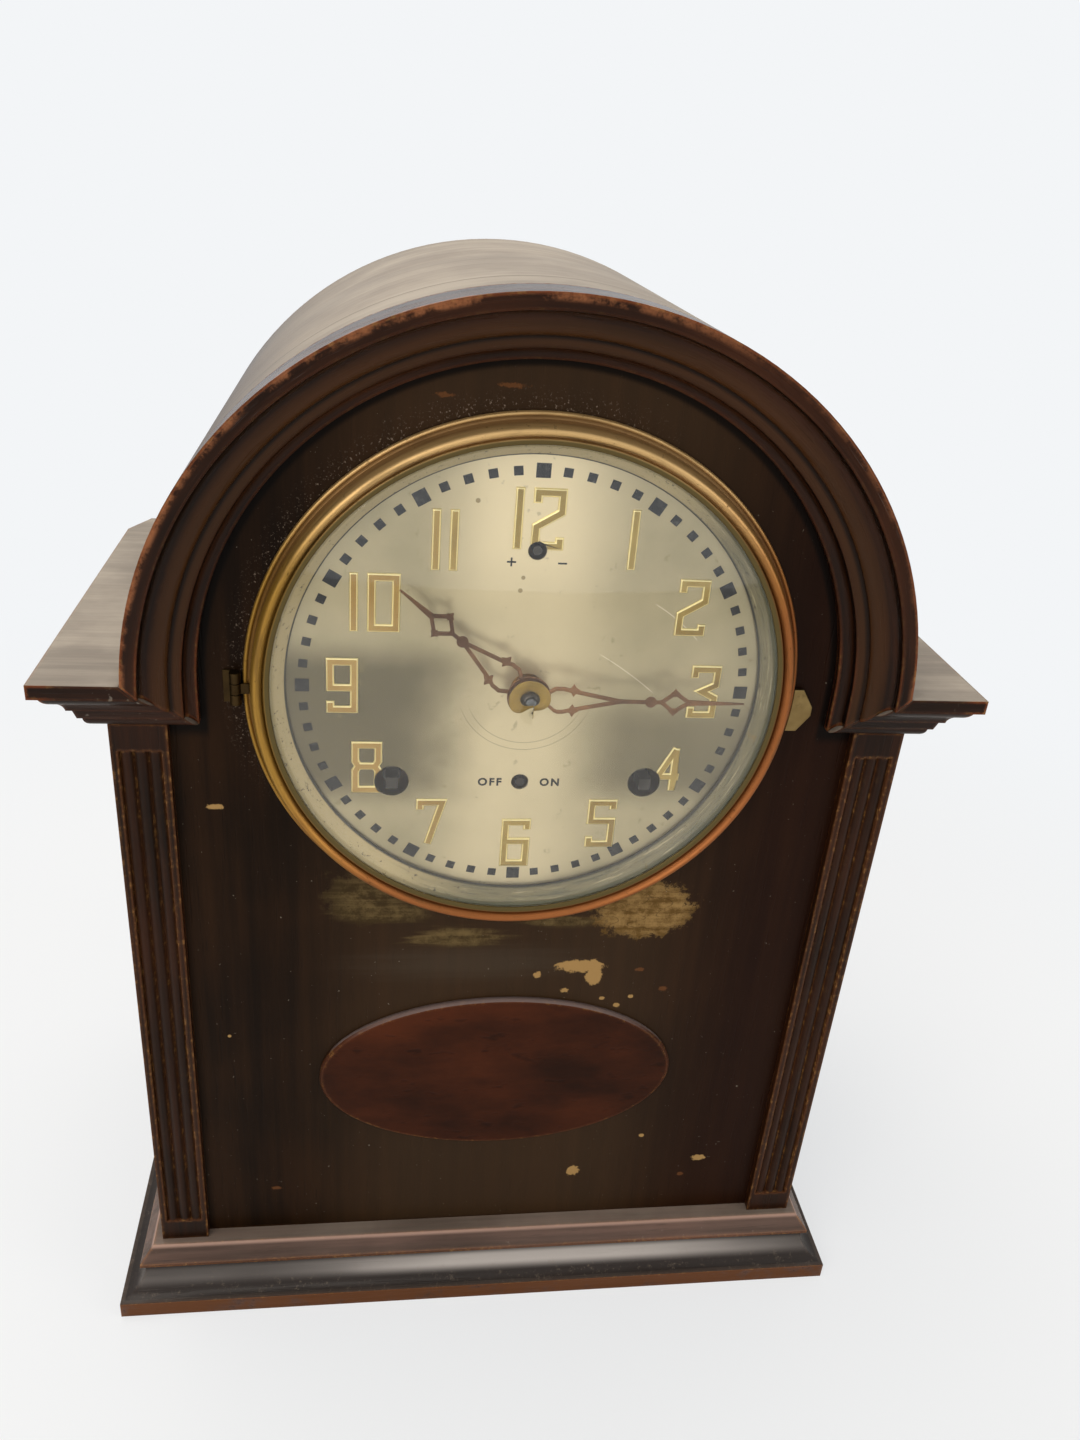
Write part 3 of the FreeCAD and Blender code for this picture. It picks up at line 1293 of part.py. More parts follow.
# Great wheels, their winding arbors and the springs that drive them
def great_wheel(label, at, phase, mirror):
    """The first wheel, with the click that holds the ratchet riveted to its front."""
    bore = d.winding_arbor_radius + d.pivot_clearance
    rim = wheel(GREAT_TEETH, great_module, great, great_stop, phase)
    click_front = great - float(d.ratchet_thickness)
    reach = float(d.ratchet_radius + d.click_gap)
    length = float(d.ratchet_radius)
    width = float(d.ratchet_thickness)
    click = slab_xz([(mirror * reach, 0), (mirror * (reach + length), -width),
                     (mirror * (reach + length), width), (mirror * (reach + width), width)],
                    click_front, great)
    finished(label, fused([rim, click]).cut(rod_y(bore, click_front, great_stop)),
             at[0], 0, float(d.dial_height) + at[1])


RATCHET_VALLEY_SHARE = 0.86
RATCHET_LEAN_SHARE = 0.25
RATCHET_WIDTH_SHARE = 0.8
ARBOR_NECK_SHARE = 0.93


def winding_arbor(label, at, mirror):
    """A winding arbor with its key square at the dial and its ratchet at the great wheel."""
    square = float(d.winding_square) / 2
    square_stop = float(dial_rear) + float(d.winding_square)
    start = float(front_plate_rear + d.shoulder_play)
    stop = float(back_plate_front - d.shoulder_play)
    ratchet_stop = great - float(d.pivot_clearance)
    corners = []
    for index in range(RATCHET_TEETH):
        angle = mirror * index * 2 * math.pi / RATCHET_TEETH
        corners.append(polar(d.ratchet_radius, angle))
        lean = mirror * RATCHET_LEAN_SHARE * math.pi / RATCHET_TEETH
        corners.append(polar(d.ratchet_radius * RATCHET_VALLEY_SHARE, angle + lean))
    ratchet = slab_xz(corners, ratchet_stop - float(d.ratchet_thickness) * RATCHET_WIDTH_SHARE, ratchet_stop)
    shape = fused([
        slab_xz([(-square, -square), (square, -square), (square, square), (-square, square)],
                panel_front, square_stop),
        rod_y(d.winding_arbor_radius * ARBOR_NECK_SHARE, square_stop, start),
        rod_y(d.winding_arbor_radius, start, stop),
        rod_y(d.winding_arbor_radius / 2, stop, back_plate_rear),
        ratchet,
    ])
    finished(label, shape, at[0], 0, float(d.dial_height) + at[1])


great_wheel("time_great_wheel", time_at, time_phase, 1)
winding_arbor("time_winding_arbor", time_at, 1)
chime_phase = math.pi
great_wheel("chime_great_wheel", chime_at, chime_phase, -1)
winding_arbor("chime_winding_arbor", chime_at, -1)


def spiral_strip(at, pillar, mirror):
    """A wound spring strip of half circles, whose tail reaches for a pillar."""
    pitch = float(d.mainspring_pitch)
    half = float(d.mainspring_strip) / 2
    start = float(front_plate_rear + d.shoulder_play * 3)
    first = float(d.winding_arbor_radius + d.mainspring_gap) + half
    outward = []
    inward = []
    halves = MAINSPRING_TURNS * 2
    centre = 0.0
    for index in range(halves):
        radius = first + index * pitch / 2
        if index:
            centre += pitch / 2 if index % 2 else -pitch / 2
        sign = 1 if index % 2 == 0 else -1
        for reach, edges in ((radius + half, outward), (radius - half, inward)):
            edges.append(Part.Arc(point(centre + sign * reach, start, 0), point(centre, start, sign * reach),
                                  point(centre - sign * reach, start, 0)).toShape())
    end_x = centre + first + (halves - 1) * pitch / 2
    run_x, run_z = mirror * (pillar[0] - at[0]), pillar[1] - at[1]
    distance = math.hypot(run_x, run_z)
    reach = math.sqrt(distance ** 2 - end_x ** 2) - float(d.pillar_radius) - float(d.mainspring_gap) / 2
    tips = []
    for edges, side in ((outward, half), (inward, -half)):
        corner = point(end_x + side, start, 0)
        tip = point(end_x + side, start, reach)
        edges.append(Part.LineSegment(corner, tip).toShape())
        tips.append(tip)
    caps = [Part.LineSegment(tips[0], tips[1]).toShape(),
            Part.LineSegment(point(first + half, start, 0), point(first - half, start, 0)).toShape()]
    wire = Part.Wire(Part.__sortEdges__(outward + inward + caps))
    shape = Part.Face(wire).extrude(point(0, d.mainspring_width, 0))
    turn = math.atan2(run_z, run_x) - math.acos(end_x / distance)
    shape.rotate(point(0, 0, 0), point(0, 1, 0), -math.degrees(turn))
    if mirror < 0:
        shape = shape.mirror(point(0, 0, 0), point(1, 0, 0))
    shape.translate(point(at[0], 0, at[1]))
    return shape


lower_pillar = float(d.lower_pillar_offset), -float(d.lower_pillar_drop)
springs = [spiral_strip(time_at, lower_pillar, 1), spiral_strip(chime_at, (-lower_pillar[0],
                                                                           lower_pillar[1]), -1)]
finished("mainsprings", Part.makeCompound(springs), z=d.dial_height)

# Chime side
chime_pinion_phase = mesh_phase(chime_at, GREAT_TEETH, chime_phase, chime_second_at, SECOND_PINION_LEAVES)
arbor_piece("chime_second_wheel", chime_second_at, arbor_shapes() + [
    wheel(SECOND_PINION_LEAVES, great_module, great, great_stop, chime_pinion_phase),
    wheel(CHIME_SECOND_TEETH, d.chime_wheel_module, middle, middle + thin, 0.0, 0, 5),
])
drum_pinion_phase = mesh_phase(chime_second_at, CHIME_SECOND_TEETH, 0.0, drum_at, DRUM_PINION_LEAVES)
drum_wheel_layer = layer("drum_wheel")
first_hammer = float(back_plate_rear + d.first_hammer_stand_off)
hammer_pitch = float(d.hammer_pitch)
drum_start = first_hammer - hammer_pitch / 2
drum_stop = drum_start + hammer_pitch * HAMMER_COUNT
drum_shapes = [
    rod_y(d.arbor_radius, front_plate_rear + d.shoulder_play, drum_stop),
    rod_y(d.pivot_radius, front_plate_front, front_plate_rear + d.shoulder_play),
    wheel(DRUM_PINION_LEAVES, d.chime_wheel_module, middle - leaf_side / 2, middle + thin + leaf_side,
          drum_pinion_phase),
    wheel(DRUM_WHEEL_TEETH, d.fine_module, drum_wheel_layer, drum_wheel_layer + thin, 0.0),
    rod_y(d.drum_radius, drum_start, drum_stop),
]
DRUM_PIN_COUNT = 3
DRUM_PIN_LEAD = 30
for index in range(HAMMER_COUNT):
    for step in range(DRUM_PIN_COUNT):
        pin_angle = math.radians(step * 360 / DRUM_PIN_COUNT + DRUM_PIN_LEAD * (index + 1))
        x, z = polar(d.drum_radius + d.drum_pin_height, pin_angle)
        pin_run = point(x, 0, z)
        pin_start = point(0, first_hammer + hammer_pitch * index, 0)
        drum_shapes.append(Part.makeCylinder(float(d.drum_pin_radius), pin_run.Length, pin_start, pin_run))
arbor_piece("chime_drum", drum_at, drum_shapes)
fly_pinion_phase = mesh_phase(drum_at, DRUM_WHEEL_TEETH, 0.0, fly_at, FLY_PINION_LEAVES)
fly_start = float(front_plate_rear) + float(d.plate_spacing) / 8
fly_half = float(d.fly_thickness) / 2
fly_reach_out = float(d.fly_radius)
arbor_piece("chime_fly", fly_at, arbor_shapes() + [
    wheel(FLY_PINION_LEAVES, d.fine_module, drum_wheel_layer - leaf_side,
          drum_wheel_layer + thin + leaf_side / 2,
          fly_pinion_phase),
    slab_xz([(-fly_reach_out, -fly_half), (fly_reach_out, -fly_half), (fly_reach_out, fly_half),
             (-fly_reach_out, fly_half)], fly_start, fly_start + float(d.fly_length)),
])

# Plates, with a bearing hole for every arbor
half_plate = d.plate_width / 2
plate_points = [(-half_plate, -d.plate_drop), (half_plate, -d.plate_drop),
                (half_plate, d.plate_rise), (-half_plate, d.plate_rise)]
pivot_hole = d.pivot_radius + d.pivot_clearance
tenon_hole = d.pillar_tenon_radius + d.pivot_clearance
shared_holes = [(at[0], at[1], pivot_hole) for at in
                (second_at, third_at, fourth_at, escape_at, chime_second_at, fly_at)]
pillar_places = [(side * float(offset), float(rise)) for side in (-1, 1) for offset, rise in
                 ((d.upper_pillar_offset, d.upper_pillar_rise), (d.lower_pillar_offset,
                                                                 -d.lower_pillar_drop))]
shared_holes += [(x, z, tenon_hole) for x, z in pillar_places]
screw_places = [(side * float(d.mounting_screw_offset), float(rise)) for side in (-1, 1)
                for rise in (d.mounting_screw_rise, -d.mounting_screw_drop)]
screw_hole = d.mounting_screw_radius + d.wood_seam


def movement_plate(front, holes):
    """A brass plate with its holes."""
    shape = slab_xz([(float(x), float(z)) for x, z in plate_points], front, front + d.plate_thickness)
    for x, z, radius in holes:
        shape = shape.cut(rod_y(radius, front, front + d.plate_thickness, x, z))
    return shape


winding_hole = d.winding_arbor_radius * ARBOR_NECK_SHARE + d.pivot_clearance
winding_holes = [(at[0], at[1], winding_hole) for at in (time_at, chime_at)]
front_holes = shared_holes + winding_holes + [(x, z, screw_hole) for x, z in screw_places] + [
    (0, 0, d.centre_bearing_radius + d.pivot_clearance),
    (verge_at[0], verge_at[1], pivot_hole),
    (drum_at[0], drum_at[1], pivot_hole),
    (minute_wheel_at[0], minute_wheel_at[1], pivot_hole),
    (0, -float(d.winding_drop), pivot_hole),
    (0, float(d.regulator_rise), pivot_hole),
]
finished("movement_front_plate", movement_plate(front_plate_front, front_holes), z=d.dial_height)
back_winding = [(at[0], at[1], d.winding_arbor_radius / 2 + d.pivot_clearance) for at in (time_at, chime_at)]
back_holes = shared_holes + back_winding + [
    (0, 0, pivot_hole),
    (verge_at[0], verge_at[1], d.arbor_radius + d.pivot_clearance),
    (drum_at[0], drum_at[1], d.arbor_radius + d.pivot_clearance),
]
hammer_bar_stop = drum_stop + float(d.shoulder_play) * 4
hammer_bar = rod_y(d.hammer_arbor_radius, back_plate_front, hammer_bar_stop, hammer_at[0], hammer_at[1])
hammer_cap = rod_y(d.hammer_hub_radius, hammer_bar_stop, hammer_bar_stop + float(d.shoulder_play) * 4,
                   hammer_at[0], hammer_at[1])
sleeve = rod_y(d.hammer_hub_radius, back_plate_front,
               first_hammer - float(d.hammer_hub_length) / 2 - float(d.shoulder_play),
               hammer_at[0], hammer_at[1])
finished("movement_back_plate", fused([movement_plate(back_plate_front, back_holes), hammer_bar,
                                       hammer_cap, sleeve]),
         z=d.dial_height)

pillars = []
for x, z in pillar_places:
    pillars.append(fused([
        rod_y(d.pillar_radius, front_plate_rear, back_plate_front, x, z),
        rod_y(d.pillar_tenon_radius, front_plate_front, front_plate_rear, x, z),
        rod_y(d.pillar_tenon_radius, back_plate_front, back_plate_rear, x, z),
        rod_y(d.pillar_nut_radius, back_plate_rear, back_plate_rear + d.pillar_nut_height, x, z),
    ]))
finished("movement_pillars", Part.makeCompound(pillars), z=d.dial_height)

screws = []
for x, z in screw_places:
    screws.append(fused([
        rod_y(d.mounting_screw_radius, front_plate_front - d.mounting_screw_depth, front_plate_rear, x, z),
        rod_y(d.mounting_head_radius, front_plate_rear, front_plate_rear + d.mounting_head_height, x, z),
    ]))
finished("mounting_screws", Part.makeCompound(screws), z=d.dial_height)
panel_holes = sketch_on(doc.getObject("front_panel"), "XZ_Plane", "panel_screw_holes", -panel_rear)
for side in (-1, 1):
    for rise in (d.mounting_screw_rise, -d.mounting_screw_drop):
        draw_circle(panel_holes, side * d.mounting_screw_offset, d.dial_height + rise,
                    d.mounting_screw_radius)
panel_cut = doc.getObject("front_panel").newObject("PartDesign::Pocket", "panel_screw_holes_cut")
panel_cut.Profile = panel_holes
panel_cut.Reversed = True
bind(panel_cut, "Length", d.mounting_screw_depth)
doc.getObject("front_panel").Tip = panel_cut

# Verge: a strap over the escape wheel, and the crutch behind the back plate
crutch_start = back_plate_rear + d.shoulder_play
rod_line = back_plate_rear + d.pendulum_stand_off
pallet_reach = float(d.escape_wheel_radius + d.pallet_gap)
PALLET_ANGLE = 50
PALLET_KNEE_SHARE = 0.75
VERGE_HUB_SHARE = 1.6
pallets = []
for side in (-1, 1):
    tip_x, tip_z = polar(pallet_reach, math.radians(90 - side * PALLET_ANGLE))
    tip_z += escape_at[1] - verge_at[1]
    pallets.append(stroke([(0, 0), (tip_x * PALLET_KNEE_SHARE, float(d.pallet_width)), (tip_x, tip_z)],
                          d.pallet_width, escape_layer, escape_layer + thin))
fork = float(d.pendulum_rod_radius + d.shoulder_play)
fork_bar = float(d.crutch_thickness)
crutch_low = -float(d.crutch_length)
crutch = [rod_y(d.arbor_radius, front_plate_rear + d.shoulder_play, crutch_start + d.crutch_thickness),
          rod_y(d.pivot_radius, front_plate_front, front_plate_rear + d.shoulder_play),
          rod_y(d.arbor_radius * VERGE_HUB_SHARE, escape_layer - thin, escape_layer + thin * 2),
          brick((-fork_bar, fork_bar), (crutch_start, crutch_start + d.crutch_thickness), (crutch_low, 0)),
          brick((-fork - fork_bar, fork + fork_bar), (crutch_start, crutch_start + d.crutch_thickness),
                (crutch_low - fork_bar, crutch_low))]
for side in (-1, 1):
    inner, outer = sorted((side * fork, side * (fork + fork_bar)))
    crutch.append(brick((inner, outer), (crutch_start, rod_line + d.pendulum_rod_radius * 2),
                        (crutch_low - fork_bar, crutch_low)))
arbor_piece("verge", verge_at, crutch + pallets)

# Suspension cock, pendulum rod with its spring, and the bob
swing_height = height_over_dial(d.verge_rise)
cock_low = float(d.verge_rise) + float(d.shoulder_play)
cock_half = d.cock_width / 2
spring_half = d.suspension_width / 2
cock = brick((-cock_half, cock_half), (rod_line - spring_half, rod_line + spring_half),
             (cock_low, cock_low + d.cock_height))
COCK_ARM_SHARE = 1.5
cock_arm = brick((-cock_half, cock_half), (back_plate_rear, rod_line - spring_half),
                 (cock_low + d.suspension_grip * COCK_ARM_SHARE, cock_low + d.cock_height))
slot = brick((-d.suspension_slot / 2, d.suspension_slot / 2),
             (rod_line - spring_half - d.cut_overrun / 4, rod_line + spring_half + d.cut_overrun),
             (cock_low - d.cut_overrun, cock_low + d.suspension_grip + d.shoulder_play))
finished("suspension_cock", fused([cock, cock_arm]).cut(slot), z=d.dial_height)

spring_z = (d.suspension_grip - d.suspension_length, d.suspension_grip)
strip = brick((-d.suspension_thickness / 2, d.suspension_thickness / 2),
              (rod_line - spring_half, rod_line + spring_half), spring_z)
rod_top = d.suspension_grip - d.suspension_length + d.suspension_grip
rod_bottom = -d.pendulum_length - d.bob_radius - d.rating_nut_height * 3
nut_top = -d.pendulum_length - d.bob_radius - d.shoulder_play / 3
pendulum = fused([
    strip,
    rod_z(d.pendulum_rod_radius, rod_bottom, rod_top, 0, rod_line),
    rod_z(d.rating_nut_radius, nut_top - d.rating_nut_height, nut_top, 0, rod_line),
])
finished("pendulum_rod", pendulum, z=swing_height)

bob_half = d.bob_thickness / 2
bob = turned("pendulum_bob", [
    (rod_line - bob_half, 0),
    (rod_line - bob_half, d.bob_radius - d.bob_edge),
    (rod_line, d.bob_radius),
    (rod_line + bob_half, d.bob_radius - d.bob_edge),
    (rod_line + bob_half, 0),
], z=swing_height - d.pendulum_length)
bob_bore = sketch_on(bob, "XY_Plane", "bob_bore", -d.bob_radius)
draw_circle(bob_bore, 0, rod_line, d.pendulum_rod_radius + d.pivot_clearance)
bob_cut = bob.newObject("PartDesign::Pocket", "bob_bore_cut")
bob_cut.Profile = bob_bore
bob_cut.Reversed = True
bind(bob_cut, "Length", d.bob_radius * 2)
bob.Tip = bob_cut

# Chime hammers on their arbor, over four rods held in an iron stand
rod_top_height = float(d.rod_height + d.rod_radius) - float(d.dial_height)
head_low = rod_top_height + float(d.hammer_rod_gap) - hammer_at[1]
hub_half = float(d.hammer_hub_length) / 2
HAMMER_GRIP_SHARE = 0.7
HAMMER_TAIL_ANGLE = 130
for index in range(HAMMER_COUNT):
    line = first_hammer + hammer_pitch * index
    head_middle = head_low + float(d.hammer_head_height) * HAMMER_GRIP_SHARE
    arm_run = point(float(d.hammer_reach), 0, head_middle)
    arm = Part.makeCylinder(float(d.hammer_wire_radius), arm_run.Length, point(0, line, 0), arm_run)
    hub = rod_y(d.hammer_hub_radius, line - hub_half, line + hub_half)
    head = rod_z(d.hammer_head_radius, head_low, head_low + float(d.hammer_head_height), d.hammer_reach, line)
    tail_x, tail_z = polar(d.hammer_tail_length, math.radians(HAMMER_TAIL_ANGLE))
    tail = Part.makeCylinder(float(d.hammer_wire_radius), float(d.hammer_tail_length), point(0, line, 0),
                             point(tail_x, 0, tail_z))
    hammer = fused([arm, hub, head, tail])
    hammer = hammer.cut(rod_y(d.hammer_arbor_radius + d.pivot_clearance, line - hub_half * 2,
                              line + hub_half * 2))
    finished("chime_hammer_%d" % (index + 1), hammer, hammer_at[0], 0, float(d.dial_height) + hammer_at[1])

stand_right = float(side_inner - d.stand_side_gap)
stand_left = stand_right - float(d.stand_width)
stand_front = first_hammer - float(d.stand_margin)
stand_back = first_hammer + hammer_pitch * (HAMMER_COUNT - 1) + float(d.stand_margin)
stand_top = d.rod_height + d.stand_margin
foot_left = stand_right - float(d.stand_foot_length)
stand = fused([
    brick((stand_left, stand_right), (stand_front, stand_back), (base_top, stand_top)),
    brick((foot_left - float(d.stand_foot_length) / 2, stand_right), (stand_front, stand_back),
          (base_top, base_top + d.stand_foot_height)),
])
chime_rods = []
for index in range(HAMMER_COUNT):
    line = first_hammer + hammer_pitch * index
    length = float(d.longest_rod) - float(d.rod_step) * index
    rod_start = point(stand_left + float(d.rod_grip) - length, line, d.rod_height)
    chime_rods.append(Part.makeCylinder(float(d.rod_radius), length, rod_start, point(1, 0, 0)))
    hole_start = point(stand_left, line, d.rod_height)
    stand = stand.cut(Part.makeCylinder(float(d.rod_radius + d.pivot_clearance), float(d.rod_grip),
                                        hole_start, point(1, 0, 0)))
finished("chime_stand", stand)
finished("chime_rods", Part.makeCompound(chime_rods))

# Silence lever and regulator arbor, reached through the dial
lever_front = float(front_plate_front) - float(d.silence_lever_width)
silence = fused([
    rod_y(d.silence_arbor_radius, dial_front, front_plate_front - d.shoulder_play),
    rod_y(d.pivot_radius, front_plate_front - d.shoulder_play, front_plate_rear),
    brick((-d.silence_lever_length, 0), (lever_front, lever_front + d.plate_thickness),
          (-d.silence_lever_width / 2, d.silence_lever_width / 2)),
])
finished("silence_lever", silence, 0, 0, d.dial_height - d.winding_drop)
regulator = fused([
    rod_y(d.regulator_arbor_radius, dial_front, front_plate_front - d.shoulder_play),
    rod_y(d.pivot_radius, front_plate_front - d.shoulder_play, front_plate_rear),
])
finished("regulator_arbor", regulator, 0, 0, d.dial_height + d.regulator_rise)

# Hands: pierced steel, each drawn along its own length and then turned to its hour
HOUR_JOINT_SHARES = (0.255, 0.07)
HOUR_BEAD_SHARE = 0.53
HOUR_DIAMOND_SHARES = (0.605, 0.685, 0.77, 0.068)
MINUTE_JOINT_SHARES = (0.198, 0.046)
MINUTE_MEET_SHARE = 0.42
MINUTE_BEAD_SHARE = 0.56
MINUTE_DIAMOND_SHARES = (0.61, 0.67, 0.74, 0.048)
LOOP_SHARES = ((0.75, 0.62), (1.25, 1.25), (1.65, 1.25))
BARB_LEAN_SHARE = 0.4
BARB_REACH_SHARE = 1.1
JOINT_BARB_SHARE = 1.75
DIAMOND_BARB_SHARE = 1.25
BEAD_SHARE = 1.5
POINT_SHARES = (0.8, 0.2)


def cross_barb(along, across, size, front, rear):
    """A small four pointed barb where two strokes of a hand meet."""
    lean = size * BARB_LEAN_SHARE
    return slab_xz([(along - size, across), (along - lean, across + lean), (along, across + size),
                    (along + lean, across + lean), (along + size, across), (along + lean, across - lean),
                    (along, across - size), (along - lean, across - lean)], front, rear)


def hand(label, length, hub, bore, front, joint, meet, bead, diamond, turn):
    """A hand with two arms from its hub, a bead, an open diamond and a long point."""
    length = float(length)
    rear = float(front) + float(d.hand_thickness)
    width = float(d.hand_stroke)
    hub = float(hub)
    joint_along, joint_across = length * joint[0], length * joint[1]
    shapes = [rod_y(hub, front, rear)]
    meet_along = length * meet
    bead_along = length * bead
    low, middle_along, high, reach = [length * share for share in diamond]
    for side in (-1, 1):
        loop = [(hub * along, side * joint_across * across) for along, across in LOOP_SHARES]
        shapes.append(stroke(loop + [(joint_along, side * joint_across)], width, front, rear))
        shapes.append(stroke([(joint_along, side * joint_across), (meet_along, 0)], width, front, rear))
        shapes.append(cross_barb(joint_along, side * joint_across * BARB_REACH_SHARE,
                                 width * JOINT_BARB_SHARE,
                                 front, rear))
        shapes.append(stroke([(low, 0), (middle_along, side * reach), (high, 0)], width, front, rear))
        shapes.append(cross_barb(middle_along, side * reach, width * DIAMOND_BARB_SHARE, front, rear))
    shapes.append(stroke([(meet_along - width, 0), (low + width, 0)], width, front, rear))
    shapes.append(rod_y(width * BEAD_SHARE, front, rear, bead_along, 0))
    wide, narrow = [width * share for share in POINT_SHARES]
    shapes.append(slab_xz([(high - width, wide), (high - width, -wide), (length, -narrow), (length, narrow)],
                          front, rear))
    finished(label, fused(shapes).cut(rod_y(bore, front, rear)), z=d.dial_height, turn=turn - 90)


hand("hour_hand", d.hour_hand_length, d.hour_hub_radius, d.pipe_radius, hour_hand_rear - d.hand_thickness,
     HOUR_JOINT_SHARES, HOUR_BEAD_SHARE, HOUR_BEAD_SHARE, HOUR_DIAMOND_SHARES, d.hour_hand_turn)
hand("minute_hand", d.minute_hand_length, d.minute_hub_radius, d.centre_tip_radius, minute_hand_front,
     MINUTE_JOINT_SHARES, MINUTE_MEET_SHARE, MINUTE_BEAD_SHARE, MINUTE_DIAMOND_SHARES, d.minute_hand_turn)
turned("hand_washer", [
    (minute_hand_front, d.centre_tip_radius),
    (minute_hand_front, d.washer_radius),
    (minute_hand_front - d.washer_thickness / 2, d.washer_radius),
    (washer_front, d.washer_radius - d.washer_thickness * 2),
    (washer_front, d.centre_tip_radius),
], z=d.dial_height)
NUT_SHARES = (0.4, 0.65)
turned("hand_nut", [
    (washer_front, d.centre_tip_radius),
    (washer_front, d.nut_radius),
    (washer_front - d.nut_height * NUT_SHARES[0], d.nut_radius),
    (nut_front, d.nut_radius * NUT_SHARES[1]),
    (nut_front, d.centre_tip_radius),
], {2: (d.nut_height, 1)}, z=d.dial_height)

NODES = [
    "base_plinth", "base_step", "front_panel", "side_panels", "arch_moulding",
    "shoulder_left", "shoulder_right", "pilaster_left", "pilaster_right", "oval_plaque", "roof_shell",
    "back_frame", "dial_plate", "hour_numerals", "bezel_hinge_plate", "movement_front_plate",
    "movement_back_plate", "movement_pillars", "mounting_screws", "mainsprings", "suspension_cock",
    "chime_stand", "chime_rods", "door_hinge_plates", "door_hinge_leaves", "bezel_ring", "bezel_glass",
    "bezel_slip_ring", "bezel_hinge_leaf", "bezel_tab", "centre_arbor", "minute_hand",
    "hand_washer", "hand_nut", "centre_wheel", "hour_wheel", "hour_hand", "minute_wheel", "time_great_wheel",
    "time_winding_arbor",
    "time_second_wheel", "third_wheel", "fourth_wheel", "escape_wheel", "verge", "pendulum_rod",
    "pendulum_bob", "chime_great_wheel", "chime_winding_arbor", "chime_second_wheel", "chime_drum",
    "chime_fly", "silence_lever", "regulator_arbor", "back_door", "door_latch",
] + ["chime_hammer_%d" % (index + 1) for index in range(HAMMER_COUNT)]

doc.recompute()
failed = [thing.Label for thing in doc.Objects if "Invalid" in thing.State or "Error" in thing.State]
if failed:
    raise RuntimeError("these did not build: %s" % ", ".join(failed))

os.makedirs("parts", exist_ok=True)
sub_parts = []
unsound = []
for node in NODES:
    shape = doc.getObjectsByLabel(node)[0].Shape
    sub_parts.append((node, shape))
    if shape.isNull() or not shape.isValid() or not shape.Solids:
        unsound.append(node)
if unsound:
    raise RuntimeError("these have no valid solid: %s" % ", ".join(unsound))
for node, shape in sub_parts:
    shape.exportStep("parts/%s.step" % node)
    box = shape.optimalBoundingBox()
    print("%-22s solids %2d  volume %10.1f  x %7.2f %7.2f  y %7.2f %7.2f  z %7.2f %7.2f" % (
        node, len(shape.Solids), shape.Volume, box.XMin, box.XMax, box.YMin, box.YMax, box.ZMin, box.ZMax))
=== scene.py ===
import math

import bmesh
import bpy
from mathutils import Matrix, Vector


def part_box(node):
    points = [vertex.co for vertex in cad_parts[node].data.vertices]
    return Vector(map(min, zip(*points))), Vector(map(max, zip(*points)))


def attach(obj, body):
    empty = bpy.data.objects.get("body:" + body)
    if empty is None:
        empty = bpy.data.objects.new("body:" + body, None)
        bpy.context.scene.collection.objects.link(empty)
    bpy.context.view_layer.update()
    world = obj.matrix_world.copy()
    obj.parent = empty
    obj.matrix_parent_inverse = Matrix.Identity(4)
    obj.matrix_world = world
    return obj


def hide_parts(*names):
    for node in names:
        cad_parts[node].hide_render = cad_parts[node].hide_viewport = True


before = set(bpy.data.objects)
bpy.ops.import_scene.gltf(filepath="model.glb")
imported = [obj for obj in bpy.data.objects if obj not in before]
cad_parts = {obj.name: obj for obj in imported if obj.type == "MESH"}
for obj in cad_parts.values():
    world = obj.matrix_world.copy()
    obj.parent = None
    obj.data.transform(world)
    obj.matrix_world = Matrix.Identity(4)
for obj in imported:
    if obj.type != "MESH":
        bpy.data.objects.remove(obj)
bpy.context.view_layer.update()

# Places in metres that marks and pieces are set out from, in the part's own frame.
dial_height = 0.25
arch_height = 0.2508
moulding_inside = 0.0951
leg_foot = 0.234
panel_face = -0.066
lip_top, cove_top, step_arris = 0.0063, 0.0168, 0.0229

# Camera: a short arm's length from the dial, a little above it and to its left, tipped down and slightly
# rolled. The angles are in radians.
down, turn, roll = 0.465, 0.158, 0.085
camera_place = Vector((-0.04338, -0.36733, 0.39309))
forward = Vector((math.sin(turn) * math.cos(down), math.cos(turn) * math.cos(down), -math.sin(down)))
level = Vector((math.cos(turn), -math.sin(turn), 0))
upright = level.cross(forward)
right = level * math.cos(roll) + upright * math.sin(roll)
up = upright * math.cos(roll) - level * math.sin(roll)
camera_data = bpy.data.cameras.new("camera")
camera_data.lens = 28.15
camera_data.sensor_fit = "VERTICAL"
camera_data.sensor_height = 36
camera_data.clip_start = 0.01
camera = bpy.data.objects.new("camera", camera_data)
bpy.context.scene.collection.objects.link(camera)
camera_turn = Matrix((right, up, -forward)).transposed().to_4x4()
camera.matrix_world = Matrix.Translation(camera_place) @ camera_turn
bpy.context.scene.camera = camera
bpy.context.scene.view_settings.view_transform = "Standard"


# Every finish on the clock is a node material. A Value is one socket of it, so that sums on a surface read
# as sums.
class Value:
    def __init__(self, finish, socket):
        self.finish = finish
        self.socket = socket

    def __add__(self, other):
        return self.finish.sum("ADD", self, other)

    def __radd__(self, other):
        return self.finish.sum("ADD", other, self)

    def __sub__(self, other):
        return self.finish.sum("SUBTRACT", self, other)

    def __rsub__(self, other):
        return self.finish.sum("SUBTRACT", other, self)

    def __mul__(self, other):
        return self.finish.sum("MULTIPLY", self, other)

    def __rmul__(self, other):
        return self.finish.sum("MULTIPLY", other, self)

    def __pow__(self, other):
        return self.finish.sum("POWER", self, other)

    def __abs__(self):
        return self.finish.sum("ABSOLUTE", self)


